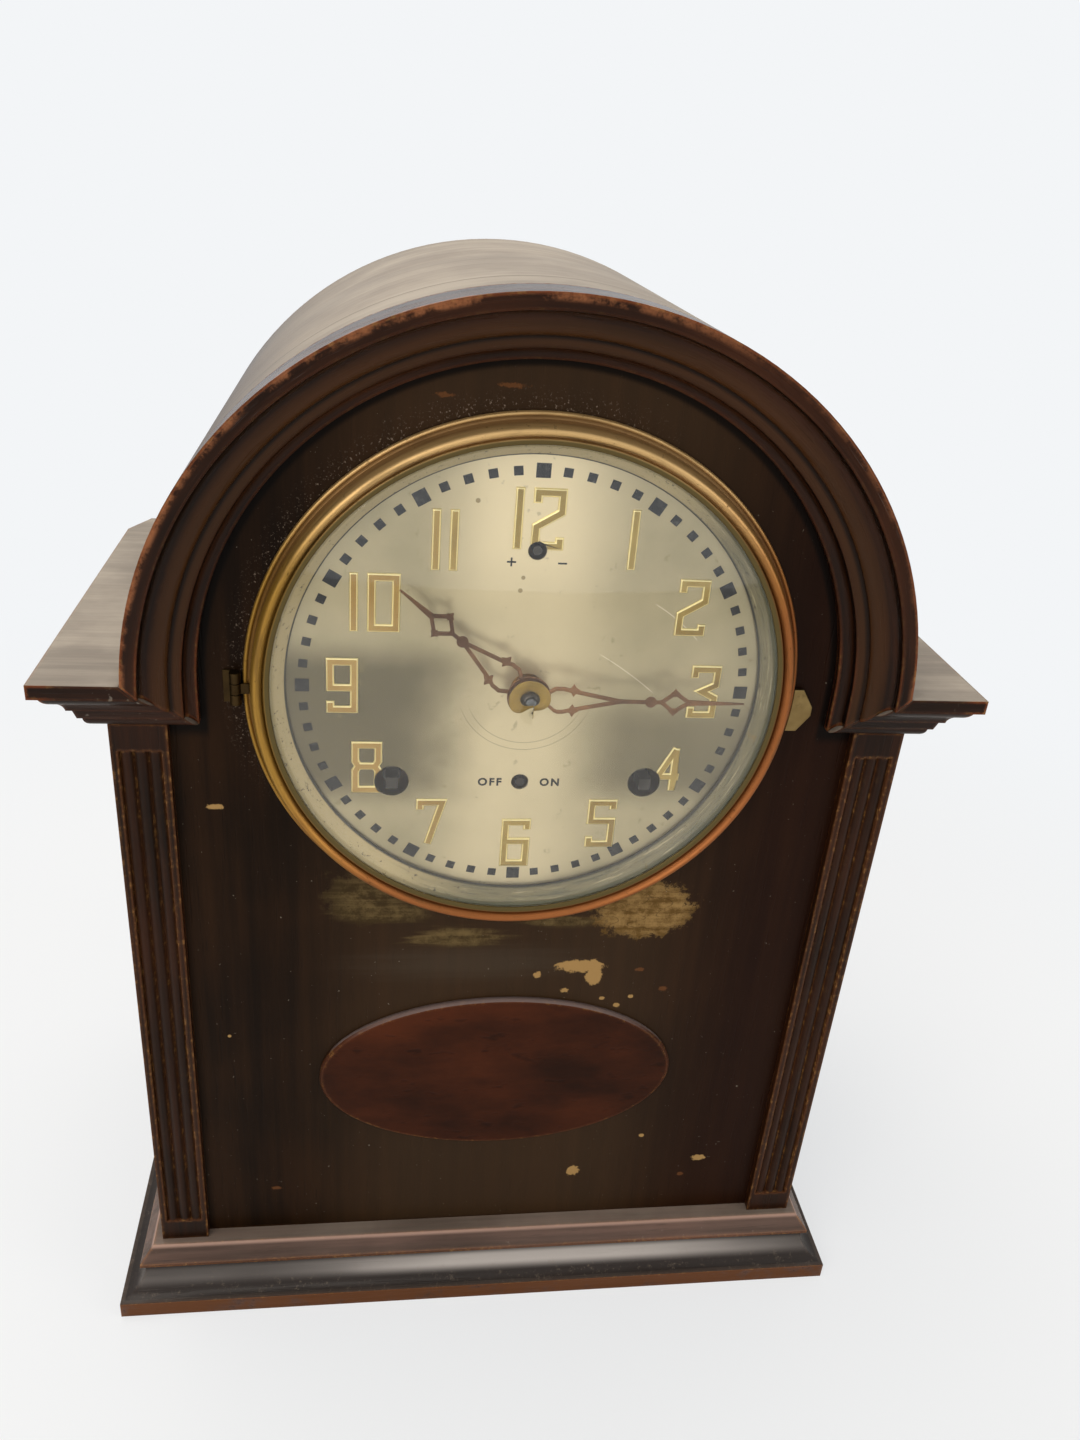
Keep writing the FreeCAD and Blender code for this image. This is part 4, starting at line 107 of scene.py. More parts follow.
class Finish:
    def __init__(self, name, **steady):
        self.material = bpy.data.materials.new(name)
        self.material.use_nodes = True
        self.tree = self.material.node_tree
        self.shader = self.tree.nodes["Principled BSDF"]
        for socket, value in steady.items():
            self.shader.inputs[socket.replace("_", " ")].default_value = value

    def node(self, kind, settings=None, sockets=None, out=0):
        made = self.tree.nodes.new("ShaderNode" + kind)
        for name, value in (settings or {}).items():
            setattr(made, name, value)
        for socket, value in (sockets or {}).items():
            if isinstance(value, Value):
                self.tree.links.new(value.socket, made.inputs[socket])
            else:
                made.inputs[socket].default_value = value
        return Value(self, made.outputs[out])

    def sum(self, operation, *terms):
        return self.node("Math", {"operation": operation}, dict(enumerate(terms)))

    def place(self):
        return self.node("TexCoord", out="Object")

    def stretched(self, place, scale):
        return self.node("VectorMath", {"operation": "MULTIPLY"}, {0: place, 1: scale})

    def parts_of(self, vector):
        split = self.node("SeparateXYZ", sockets={0: vector}).socket.node
        return [Value(self, socket) for socket in split.outputs]

    def facing(self):
        return self.parts_of(self.node("NewGeometry", out="Normal"))

    def most(self, *shares):
        total = shares[0]
        for share in shares[1:]:
            total = self.sum("MAXIMUM", total, share)
        return total

    def noise(self, place, scale, detail=3, rough=0.5):
        sockets = {"Vector": place, "Scale": scale, "Detail": detail, "Roughness": rough}
        return self.node("TexNoise", sockets=sockets)

    def fade(self, value, low, high):
        return self.node("MapRange", {"interpolation_type": "SMOOTHSTEP"},
                         {"Value": value, "From Min": low, "From Max": high})

    def blend(self, first, second, share):
        return self.node("Mix", {"data_type": "RGBA"}, {0: share, 6: first, 7: second}, out=2)

    def worn_normal(self, radius):
        rounded = self.node("Bevel", {"samples": 4}, {"Radius": radius})
        sharp = self.node("NewGeometry", out="Normal")
        along = self.node("VectorMath", {"operation": "DOT_PRODUCT"}, {0: rounded, 1: sharp}, out="Value")
        return rounded, 1 - along

    def finish(self, colour, rough, height=None, distance=0.0002, normal=None):
        wanted = {"Base Color": colour, "Roughness": rough}
        if height is not None:
            bump = {"Height": height, "Strength": 0.6, "Distance": distance}
            if normal is not None:
                bump["Normal"] = normal
            wanted["Normal"] = self.node("Bump", sockets=bump)
        elif normal is not None:
            wanted["Normal"] = normal
        for socket, value in wanted.items():
            if isinstance(value, Value):
                self.tree.links.new(value.socket, self.shader.inputs[socket])
            elif value is not None:
                self.shader.inputs[socket].default_value = value
        return self

    def coat(self):
        return Value(self, self.shader.inputs["Base Color"].links[0].from_socket)

    def recoat(self, colour):
        self.tree.links.new(colour.socket, self.shader.inputs["Base Color"])


def tone(code):
    shares = [int(code[index:index + 2], 16) / 255 for index in (1, 3, 5)]
    return tuple(share / 12.92 if share < 0.04045 else ((share + 0.055) / 1.055) ** 2.4
                 for share in shares) + (1,)


def reach_of(across, rise):
    return (across * across + rise * rise) ** 0.5


def dress(finish, *names):
    for name in names:
        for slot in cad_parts[name].material_slots:
            slot.material = finish.material


# Studio: a plain pale floor that fades into a pale room, a large soft lamp above and two weaker ones in
# front. The camera sees the room paler than it lights the clock.
room_tone = tone("#f3f5f7")
world = bpy.data.worlds.new("room")
bpy.context.scene.world = world
world.use_nodes = True
room = world.node_tree
light = room.nodes["Background"]
light.inputs["Color"].default_value = (1, 0.97, 0.93, 1)
light.inputs["Strength"].default_value = 0.5
shown = room.nodes.new("ShaderNodeBackground")
shown.inputs["Color"].default_value = room_tone
rays = room.nodes.new("ShaderNodeLightPath")
seen = room.nodes.new("ShaderNodeMath")
seen.operation = "MAXIMUM"
either = room.nodes.new("ShaderNodeMath")
either.operation = "MAXIMUM"
choose = room.nodes.new("ShaderNodeMixShader")
room.links.new(rays.outputs["Is Camera Ray"], either.inputs[0])
room.links.new(rays.outputs["Is Transmission Ray"], either.inputs[1])
room.links.new(either.outputs[0], seen.inputs[0])
room.links.new(rays.outputs["Is Glossy Ray"], seen.inputs[1])
room.links.new(seen.outputs[0], choose.inputs[0])
room.links.new(light.outputs[0], choose.inputs[1])
room.links.new(shown.outputs[0], choose.inputs[2])
room.links.new(choose.outputs[0], room.nodes["World Output"].inputs["Surface"])

floor_finish = Finish("floor", Roughness=0.9, Specular_IOR_Level=0.1)
floor_finish.finish(tone("#f0f2f4"), 0.9)
floor_output = floor_finish.tree.nodes["Material Output"]
floor_shine = floor_finish.node("Emission", sockets={"Color": room_tone, "Strength": 1.0})
floor_rays = floor_finish.node("LightPath", out="Is Camera Ray")
away = floor_finish.node("VectorMath", {"operation": "LENGTH"}, {0: floor_finish.place()}, out="Value")
clear = floor_finish.fade(away, 0.25, 0.7)
floor_share = floor_rays * (0.68 + 0.32 * clear)
floor_surface = Value(floor_finish, floor_finish.shader.outputs[0])
floor_mix = floor_finish.node("MixShader", sockets={0: floor_share, 1: floor_surface, 2: floor_shine})
floor_finish.tree.links.new(floor_mix.socket, floor_output.inputs["Surface"])
floor_form = bmesh.new()
bmesh.ops.create_circle(floor_form, cap_ends=True, segments=64, radius=3)
floor_mesh = bpy.data.meshes.new("floor")
floor_form.to_mesh(floor_mesh)
floor_form.free()
floor_mesh.materials.append(floor_finish.material)
floor = bpy.data.objects.new("floor", floor_mesh)
bpy.context.scene.collection.objects.link(floor)

lamp_target = Vector((0, 0, 0.2))
lamp_tint = (1, 0.93, 0.84)
for name, place, size, power in (
    ("top_lamp", (-0.25, 0.15, 1.25), 0.9, 9),
    ("front_lamp", (-0.9, -1.1, 0.9), 0.8, 8),
    ("side_lamp", (1.2, -0.6, 0.6), 0.7, 4),
):
    lamp_data = bpy.data.lights.new(name, "AREA")
    lamp_data.size = size
    lamp_data.energy = power
    lamp_data.color = lamp_tint
    lamp = bpy.data.objects.new(name, lamp_data)
    bpy.context.scene.collection.objects.link(lamp)
    lamp.location = place
    lamp.rotation_euler = (lamp_target - Vector(place)).to_track_quat("-Z", "Y").to_euler()


# Case carcass: mahogany under a dark brown varnish, rubbed to orange wood on its corners and dusty on top.
# The base has a worn lip, a cove with a painted pale highlight streak and grit low down, and a bevelled step
# above it with a painted highlight along its upper arris.
# All of it is glued and pinned.
def mahogany(name, grain, deep="#170b05", warm="#321a0d", bare="#8a4a24", worn=1.0, dust=0.0, gloss=0.38,
             place=None, rubbed=None):
    wood = Finish(name, Specular_IOR_Level=0.12)
    own = wood.place()
    place = place(wood, own) if place else own
    run = wood.stretched(place, grain)
    figure = wood.noise(run, 1, 5, 0.62)
    pores = wood.noise(wood.stretched(run, (4, 4, 4)), 1, 2, 0.7)
    cloud = wood.noise(own, 16, 3)
    speck = wood.noise(own, 420, 2, 0.7)
    rounded, edge = wood.worn_normal(0.0016)
    colour = wood.blend(tone(deep), tone(warm), wood.fade(figure * 0.6 + cloud * 0.5, 0.38, 0.78))
    colour = wood.blend(colour, tone("#0d0704"), wood.fade(pores, 0.58, 0.75) * 0.55)
    rub = wood.fade(edge * (0.4 + 1.3 * wood.noise(own, 60, 4, 0.7)), 0.02, 0.13) * worn
    if rubbed:
        rub = rub * rubbed(wood, own)
    bare_tone = wood.blend(tone(bare), tone("#c08a4e"), wood.fade(speck, 0.5, 0.7))
    colour = wood.blend(colour, bare_tone, rub)
    up_face = wood.facing()[2]
    blotch = wood.fade(wood.noise(own, 26, 4, 0.6), 0.35, 0.7)
    streak = wood.fade(wood.noise(run, 0.6, 4, 0.7), 0.35, 0.75)
    settled = wood.fade(up_face, 0.5, 0.95) * dust * (0.5 + 0.28 * blotch + 0.22 * streak)
    grit = wood.fade(speck, 0.66, 0.74) * wood.fade(cloud, 0.4, 0.6) * 0.5
    colour = wood.blend(colour, tone("#a39a8e"), wood.most(settled, grit * dust))
    rough = gloss + 0.12 * (cloud - 0.5) + 0.25 * rub + 0.25 * settled + 0.1 * (pores - 0.5)
    height = figure * 0.25 - wood.fade(pores, 0.55, 0.75) * 0.5 - rub * 0.6 * speck
    return wood.finish(colour, rough, height, 0.00025, rounded)


base_wood = mahogany("base_mahogany", (14, 300, 300), deep="#3c2a23", warm="#6b5148", bare="#93603c",
                     dust=0.5, gloss=0.3)
base_place = base_wood.place()
base_x, base_y, base_z = base_wood.parts_of(base_place)
base_up = base_wood.facing()[2]
in_cove = base_wood.fade(base_z, lip_top, lip_top + 0.0004)
in_cove = in_cove * (1 - base_wood.fade(base_z, cove_top - 0.0004, cove_top + 0.0004))
on_lip = 1 - base_wood.fade(base_z, lip_top - 0.0003, lip_top + 0.0003)
on_lip = on_lip * base_wood.fade(base_wood.noise(base_place, 70, 5, 0.7), 0.3, 0.5)
cove_cloud = base_wood.noise(base_wood.stretched(base_place, (12, 40, 40)), 1, 2)
cove_grit = base_wood.fade(base_wood.noise(base_place, 330, 6, 0.85), 0.54, 0.72)
cove_grit = cove_grit * (0.25 + 0.75 * base_wood.fade(base_z * -1, -0.012, -0.007))
# Painted highlight along the step's upper arris, kept off its flat top.
painted_arris_highlight = base_wood.fade(base_z, step_arris - 0.0005, step_arris + 0.0005)
painted_arris_highlight = painted_arris_highlight * (1 - base_wood.fade(base_up, 0.85, 0.95))
base_colour = base_wood.blend(base_wood.coat(), tone("#b8988a"), painted_arris_highlight * 0.75)
# Painted highlight: a pale streak across the cove's upper part, strongest near the middle.
painted_cove_highlight = base_wood.fade(base_z, 0.0078, 0.0105) * (1 - 0.75 * base_wood.fade(base_z, 0.0128, 0.0156))
painted_cove_highlight = painted_cove_highlight * (1 - 0.75 * base_wood.fade(abs(base_x - 0.02), 0.03, 0.115))
painted_cove_highlight = painted_cove_highlight * (0.65 + 0.35 * base_wood.fade(cove_cloud, 0.4, 0.6))
cove_colour = base_wood.blend(tone("#2a2625"), tone("#d0cac6"), painted_cove_highlight * 0.8)
cove_colour = base_wood.blend(cove_colour, tone("#857868"), cove_grit * 0.5)
base_colour = base_wood.blend(base_colour, cove_colour, in_cove * 0.93)
base_colour = base_wood.blend(base_colour, tone("#643a18"), on_lip * 0.8)
base_wood.finish(base_colour, 0.2 + 0.28 * on_lip + 0.2 * cove_grit)
dress(base_wood, "base_plinth", "base_step")

# Front panel and sides: wide mahogany boards with upright grain. The panel's varnish is rubbed thin and
# scraped below the bezel and flaked in small spots. Dust lies by the bezel's upper left, and a dark line of
# painted shadow and dirt follows the arch inside.
side_wood = mahogany("side_mahogany", (260, 260, 12), dust=0.2, worn=0.6, gloss=0.4)
dress(side_wood, "side_panels")
panel_wood = mahogany("panel_mahogany", (200, 200, 9), deep="#130a04", warm="#2a190b", worn=0.2, gloss=0.42)
panel_wood.shader.inputs["Specular IOR Level"].default_value = 0.06
panel_place = panel_wood.place()
panel_x, panel_y, panel_z = panel_wood.parts_of(panel_place)
smear = panel_wood.noise(panel_wood.stretched(panel_place, (16, 16, 330)), 1, 5, 0.65)
ragged = panel_wood.noise(panel_place, 210, 6, 0.8)
nibbled = panel_wood.noise(panel_place, 700, 4, 0.75)
curl = panel_wood.noise(panel_wood.stretched(panel_place, (90, 90, 210)), 1, 0)
face_only = 1 - panel_wood.fade(panel_y, panel_face + 0.0002, panel_face + 0.0006)


def patch(x, z, half_x, half_z, grain, rag, soft):
    across = (panel_x - x) * (1 / half_x)
    rise = (panel_z - z) * (1 / half_z)
    reach = reach_of(across, rise) + (grain - 0.5) * rag
    return 1 - panel_wood.fade(reach, 1 - soft, 1 + soft)


varnished = panel_wood.coat()
middle = 1 - panel_wood.fade(abs(panel_x - 0.005), 0.03, 0.085)
varnished = panel_wood.blend(varnished, tone("#493726"), middle * 0.42)
varnished = panel_wood.blend(varnished, tone("#260f07"), panel_wood.fade(panel_x, 0.03, 0.1) * 0.5)
rubbed = panel_wood.most(
    patch(-0.046, 0.1755, 0.0125, 0.0090, ragged, 3.0, 0.35),
    patch(-0.042, 0.1690, 0.0150, 0.0035, smear, 2.6, 0.3),
    patch(-0.018, 0.1585, 0.0165, 0.0040, smear, 2.6, 0.25),
    patch(0.018, 0.1645, 0.0130, 0.0022, smear, 2.0, 0.3),
)
hazed = patch(-0.012, 0.1475, 0.0320, 0.0060, smear, 1.4, 0.7)
scraped = patch(0.0455, 0.1690, 0.0165, 0.0115, ragged, 1.5, 0.1)
flaked = panel_wood.most(
    patch(0.0255, 0.1455, 0.0080, 0.0026, ragged, 2.6, 0.12),
    patch(0.0310, 0.1415, 0.0026, 0.0046, ragged, 1.8, 0.12),
    patch(0.0403, 0.1278, 0.0012, 0.0009, nibbled, 1.6, 0.2),
    patch(0.0450, 0.1317, 0.0010, 0.0008, nibbled, 1.6, 0.2),
    patch(0.0348, 0.1311, 0.0009, 0.0007, nibbled, 1.6, 0.2),
    patch(0.0212, 0.1350, 0.0014, 0.0010, nibbled, 2.2, 0.2),
    patch(0.0112, 0.1420, 0.0012, 0.0014, nibbled, 2.4, 0.2),
    patch(0.0320, 0.0464, 0.0024, 0.0024, nibbled, 1.6, 0.12),
    patch(0.0812, 0.0506, 0.0027, 0.0014, nibbled, 1.8, 0.12),
    patch(0.0570, 0.0636, 0.0010, 0.0009, nibbled, 1.2, 0.2),
    patch(-0.0925, 0.2090, 0.0026, 0.0009, nibbled, 1.6, 0.2),
    patch(-0.0925, 0.1180, 0.0006, 0.0006, nibbled, 0.8, 0.2),
)
faint = panel_wood.most(
    patch(-0.0103, 0.3383, 0.0034, 0.0006, nibbled, 3.0, 0.3),
    patch(-0.0280, 0.3350, 0.0022, 0.0006, nibbled, 3.0, 0.3),
    patch(0.0562, 0.1348, 0.0014, 0.0010, nibbled, 1.8, 0.3),
    patch(0.0470, 0.1435, 0.0014, 0.0009, nibbled, 2.0, 0.3),
    patch(0.0750, 0.0420, 0.0012, 0.0010, nibbled, 1.8, 0.3),
    patch(-0.0790, 0.0440, 0.0018, 0.0008, nibbled, 2.4, 0.3),
)
curls = 1 - panel_wood.fade(abs(curl - 0.5), 0.004, 0.014)
olive_grain = panel_wood.fade(smear * 0.5 + ragged * 0.5, 0.42, 0.62)
olive = panel_wood.blend(tone("#43371c"), tone("#8c774c"), olive_grain)
tan_grain = panel_wood.fade(ragged * 0.6 + smear * 0.4, 0.4, 0.6)
tan = panel_wood.blend(tone("#5e4622"), tone("#94774a"), tan_grain)
tan = panel_wood.blend(tan, tone("#2a190b"), curls * 0.45)
panel_colour = varnished
for mark, mark_tone, strength in (
    (hazed, tone("#5a5348"), 0.18),
    (rubbed, olive, 0.46),
    (scraped, tan, 0.92),
    (flaked, tone("#a58453"), 0.92),
    (faint, tone("#6e4526"), 0.6),
):
    panel_colour = panel_wood.blend(panel_colour, mark_tone, mark * face_only * strength)
panel_reach = reach_of(panel_x, panel_z - dial_height)
by_bezel = 1 - 0.7 * panel_wood.fade(panel_reach, 0.0845, 0.0870)
by_bezel = by_bezel - 0.3 * panel_wood.fade(panel_reach, 0.0870, 0.090)
by_bezel = by_bezel * panel_wood.fade(panel_z - dial_height - panel_x, 0.03, 0.08)
dusty = panel_wood.fade(panel_wood.noise(panel_place, 1300, 3, 0.8), 0.59, 0.68) * by_bezel
panel_colour = panel_wood.blend(panel_colour, tone("#a08f80"), dusty * 0.6)
flecks = panel_wood.fade(panel_wood.noise(panel_place, 900, 2, 0.6), 0.75, 0.78)
panel_colour = panel_wood.blend(panel_colour, tone("#8f8678"), flecks * 0.6)
# Painted shadow and dirt: a dark line on the panel just inside the arch moulding.
arch_side = reach_of(panel_x, panel_wood.most(panel_z - arch_height, 0.0))
arch_shadow_and_dirt = panel_wood.fade(arch_side, moulding_inside - 0.0029, moulding_inside - 0.0013)
arch_shadow_and_dirt = arch_shadow_and_dirt * panel_wood.fade(panel_z, leg_foot - 0.002, leg_foot + 0.002)
panel_colour = panel_wood.blend(panel_colour, tone("#050302"), arch_shadow_and_dirt * 0.85)
panel_wood.finish(panel_colour, 0.42 + 0.2 * panel_wood.most(scraped, flaked))
dress(panel_wood, "front_panel")


# Arch moulding and shoulders: mahogany run with steps, a cove and beads, bent over the top and mitred to
# straight lengths at the sides. Its outer corner is rubbed to bare orange wood, and painted shade darkens the
# inner corners of its steps. The grain follows the arch.
def round_arch(wood, own):
    x, y, z = wood.parts_of(own)
    angle = wood.sum("ARCTAN2", x, z - dial_height)
    return wood.node("CombineXYZ", sockets={0: reach_of(x, z - dial_height), 1: y, 2: angle * 0.11})


def outer_corner(wood, own):
    x, y, z = wood.parts_of(own)
    legs = 1 - wood.fade(z, 0.262, 0.275)
    return 0.1 + 0.5 * wood.fade(reach_of(x, z - dial_height), 0.1105, 0.1122) + 0.25 * legs


def tips(wood, own):
    return 0.15 + 0.85 * wood.fade(abs(wood.parts_of(own)[0]), 0.128, 0.135)


arch_wood = mahogany("arch_mahogany", (320, 320, 16), warm="#3a1e0e", bare="#99522b", worn=1.3, gloss=0.26,
                     place=round_arch, rubbed=outer_corner)
arch_x, arch_y, arch_z = arch_wood.parts_of(arch_wood.place())
arch_reach = reach_of(arch_x, arch_z - dial_height)
second_band = arch_wood.fade(arch_y, -0.0785, -0.0775) * (1 - arch_wood.fade(arch_y, -0.0735, -0.0725))
worn_corner = arch_wood.fade(arch_reach, 0.1113, 0.1127) * (1 - arch_wood.fade(arch_y, -0.0815, -0.0805))
worn_corner = worn_corner * arch_wood.fade(arch_wood.noise(arch_wood.place(), 55, 6, 0.8), 0.44, 0.62)
worn_corner = worn_corner * (1 - 0.6 * arch_wood.fade(arch_x, -0.01, 0.07))
arch_across = reach_of(arch_x, arch_wood.most(arch_z - arch_height, 0.0))


# Painted shade: dark lines in the inner corners of the moulding's steps.
def groove(reach, depth):
    return 1 - arch_wood.fade(reach_of(arch_across - reach, arch_y - depth), 0.0004, 0.0017)


inner_corners = ((0.10878, -0.08078), (0.10194, -0.07406), (0.09852, -0.07188))
painted_groove_shade = arch_wood.most(*(groove(reach, depth) for reach, depth in inner_corners))
arch_colour = arch_wood.blend(arch_wood.coat(), tone("#4c3018"), second_band * 0.45)
arch_colour = arch_wood.blend(arch_colour, tone("#070403"), painted_groove_shade * 0.85)
arch_wood.recoat(arch_wood.blend(arch_colour, tone("#9a6240"), worn_corner * 0.75))
dress(arch_wood, "arch_moulding")
shoulder_wood = mahogany("shoulder_mahogany", (16, 320, 320), bare="#8f4a26", worn=1.2, dust=1.15, gloss=0.3,
                         rubbed=tips)
dress(shoulder_wood, "shoulder_left", "shoulder_right")

# Pilasters: three reeds run down each strip of mahogany, with plain ends, worn along the arrises, glued on.
pilaster_wood = mahogany("pilaster_mahogany", (300, 300, 12), deep="#150a04", warm="#33190a", bare="#6e4223",
                         worn=0.7, gloss=0.32)
dress(pilaster_wood, "pilaster_left", "pilaster_right")

# Oval plaque: a redder, mottled mahogany veneer on a thin board, with a bevelled edge, glued to the panel.
# The bevel's upper faces carry a painted highlight.
plaque_wood = mahogany("plaque_mahogany", (24, 120, 60), deep="#220f06", warm="#4d2410", bare="#7a4a30",
                       worn=0.6, gloss=0.33)
plaque_wood.shader.inputs["Specular IOR Level"].default_value = 0.07
# Painted highlight on the bevel's upward faces.
painted_bevel_highlight = plaque_wood.fade(plaque_wood.facing()[2], 0.5, 0.72)
plaque_wood.recoat(plaque_wood.blend(plaque_wood.coat(), tone("#857a78"), painted_bevel_highlight * 0.6))
dress(plaque_wood, "oval_plaque")

# Roof: thin board bent over the case, its satin varnish greyed by dust that is rubbed in streaks round the
# bend, with a thin seam across.
roof_wood = mahogany("roof_mahogany", (200, 260, 9), deep="#2c1d13", warm="#503c2b", worn=0.6, dust=1.1,
                     gloss=0.36, place=round_arch)
seam_depth = -0.0475
roof_seam = abs(roof_wood.parts_of(roof_wood.place())[1] - seam_depth)
roof_seam = 1 - roof_wood.fade(roof_seam, 0.0002, 0.0006)
roof_wood.recoat(roof_wood.blend(roof_wood.coat(), tone("#3a332c"), roof_seam * 0.8))
dress(roof_wood, "roof_shell")

# Back: frame and door of plain stained board, brass butt hinges and a brass turn button on a screw.
back_wood = mahogany("back_board", (220, 220, 10), deep="#2d1c10", warm="#5c3d22", bare="#9b6c40",
                     worn=0.8, gloss=0.55)
dress(back_wood, "back_frame", "back_door")


def metal(name, bright, dull, rough, spot="#2c1c0c", spots=0.3, edge_bright=0.3, relief=0.00008):
    made = Finish(name, Metallic=1.0)
    own = made.place()
    cloud = made.noise(own, 38, 4, 0.6)
    fine = made.noise(own, 600, 2, 0.6)
    rounded, edge = made.worn_normal(0.0004)
    colour = made.blend(tone(dull), tone(bright), made.fade(cloud, 0.3, 0.7))
    colour = made.blend(colour, tone(bright), made.fade(edge, 0.02, 0.2) * edge_bright)
    stain = made.fade(made.noise(own, 150, 4, 0.7), 0.6, 0.75) * spots
    colour = made.blend(colour, tone(spot), stain)
    height = fine * 0.4 + cloud * 0.2
    return made.finish(colour, rough + 0.12 * (cloud - 0.5) + 0.25 * stain, height, relief, rounded)


hardware_brass = metal("hardware_brass", "#c9a35c", "#8f6d35", 0.34)
dress(hardware_brass, "door_hinge_plates", "door_hinge_leaves", "door_latch")

# Movement: two brass plates on four pillars, screwed to the panel behind the dial. Wheels and hammers are
# brass, arbors and levers steel, the springs blued, and everything has gone slightly dull.
movement_brass = metal("movement_brass", "#d3b06a", "#a07c3e", 0.3, spots=0.2)
dress(movement_brass, "movement_front_plate", "movement_back_plate", "movement_pillars", "suspension_cock",
      "hour_wheel", "minute_wheel", "centre_wheel", "time_great_wheel", "time_second_wheel", "third_wheel",
      "fourth_wheel", "escape_wheel", "chime_great_wheel", "chime_second_wheel", "chime_drum", "chime_fly",
      "pendulum_bob", "chime_hammer_1", "chime_hammer_2", "chime_hammer_3", "chime_hammer_4")
grey_steel = metal("grey_steel", "#868a8c", "#4c4f52", 0.32, spot="#3a2a20", spots=0.35)
dress(grey_steel, "centre_arbor", "verge", "pendulum_rod", "mounting_screws", "chime_rods")
dark_steel = metal("dark_steel", "#4a4843", "#1f1d1b", 0.4, spot="#3a2a20", spots=0.35)
dress(dark_steel, "time_winding_arbor", "chime_winding_arbor", "silence_lever", "regulator_arbor")
blued_steel = metal("blued_steel", "#4a5a78", "#262f42", 0.26, spots=0.2)
dress(blued_steel, "mainsprings")
cast_iron = metal("cast_iron", "#3c3d40", "#232427", 0.6, spot="#4a3020", spots=0.4, relief=0.0003)
dress(cast_iron, "chime_stand")

# Dial: a silvered brass pan, lacquered and a little tarnished, with a painted bright reflection band down the
# middle and painted dark reflections low on both sides, faint turned lines round the centre, a few brown
# spots and two scratches. It sits in the panel's hole.
silver = Finish("silvered_dial", Metallic=0.75)
silver_place = silver.place()
silver_x, silver_y, silver_z = silver.parts_of(silver_place)
silver_cloud = silver.noise(silver_place, 26, 4, 0.6)
# Painted reflection: a bright band down the middle of the dial, stronger towards the top.
painted_reflection_band = 1 - silver.fade(abs(silver_x + 0.002), 0.006, 0.034)
# Painted dark reflections low on the dial's left and right.
below = silver.fade(silver_z * -1, -0.267, -0.254) * (1 - silver.fade(silver_z * -1, -0.220, -0.206))
left_dark_reflection = 1 - silver.fade(silver_x + (silver_cloud - 0.5) * 0.03, -0.04, -0.004)
right_dark_reflection = silver.fade(silver_x, 0.008, 0.034) * silver.fade(silver_z * -1, -0.256, -0.236)
silver_colour = silver.blend(tone("#a19878"), tone("#b8ad8b"), silver.fade(silver_cloud, 0.3, 0.7))
painted_reflection_band = painted_reflection_band * (0.55 + 0.45 * silver.fade(silver_z, 0.27, 0.3))
silver_colour = silver.blend(silver_colour, tone("#efe0b8"), painted_reflection_band)
silver_colour = silver.blend(silver_colour, tone("#504a34"), below * (0.8 * left_dark_reflection + 0.62 * right_dark_reflection))
silver_reach = reach_of(silver_x, silver_z - dial_height)
ring_marks = 0
for radius in (0.0182, 0.0206):
    ring = 1 - silver.fade(abs(silver_reach - radius), 0.00006, 0.00018)
    ring_marks = ring_marks + ring
ring_marks = ring_marks * silver.fade(silver_z * -1, -0.246, -0.238)
silver_colour = silver.blend(silver_colour, tone("#6d6447"), ring_marks * 0.45)
for x, z, radius in ((-0.0035, 0.2849, 0.0007), (-0.0041, 0.281, 0.0008), (-0.0175, 0.3068, 0.0008)):
    spot = 1 - silver.fade(reach_of(silver_x - x, silver_z - z), radius * 0.7, radius)
    silver_colour = silver.blend(silver_colour, tone("#8d7a50"), spot * 0.8)
for x, z, lean, length, bend in ((0.0435, 0.2730, -0.67, 0.0192, 9), (0.0300, 0.2560, -0.61, 0.0226, 4)):
    along = (silver_x - x) * math.cos(lean) + (silver_z - z) * math.sin(lean)
    aside = (silver_z - z) * math.cos(lean) - (silver_x - x) * math.sin(lean) + along * along * bend
    line = 1 - silver.fade(abs(aside), 0.00008, 0.0002)
    line = line * (1 - silver.fade(abs(along), length * 0.4, length * 0.5))
    silver_colour = silver.blend(silver_colour, tone("#f6efd8"), line * 0.55)
silver_stain = silver.fade(silver.noise(silver_place, 190, 3, 0.7), 0.64, 0.74)
silver_colour = silver.blend(silver_colour, tone("#8f8560"), silver_stain * 0.4)
brushed = silver.noise(silver.node("CombineXYZ", sockets={0: silver_reach * 2500}), 1, 2)
silver_rough = 0.36 + 0.15 * (silver_cloud - 0.5) + 0.15 * silver_stain
silver.finish(silver_colour, silver_rough, brushed * 0.5 + ring_marks * -0.6, 0.00004)
dress(silver, "dial_plate")


# Minute squares and small signs: dark grey paint on the dial, larger squares at the hours, with a plus and
# a minus at the regulator's hole and OFF and ON at the silencing lever's.
def piece(name, form, finish, body, sharp=0.6):
    for face in form.faces:
        face.smooth = True
    for edge in form.edges:
        edge.smooth = len(edge.link_faces) == 2 and edge.calc_face_angle(0) < sharp
    mesh = bpy.data.meshes.new(name)
    form.to_mesh(mesh)
    form.free()
    mesh.materials.append(finish.material)
    made = bpy.data.objects.new(name, mesh)
    bpy.context.scene.collection.objects.link(made)
    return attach(made, body)


def block(form, size, centre, tilt=0.0):
    turned = Matrix.Translation(centre) @ Matrix.Rotation(tilt, 4, "Y") @ Matrix.Diagonal((*size, 1))
    return bmesh.ops.create_cube(form, size=1, matrix=turned)["verts"]


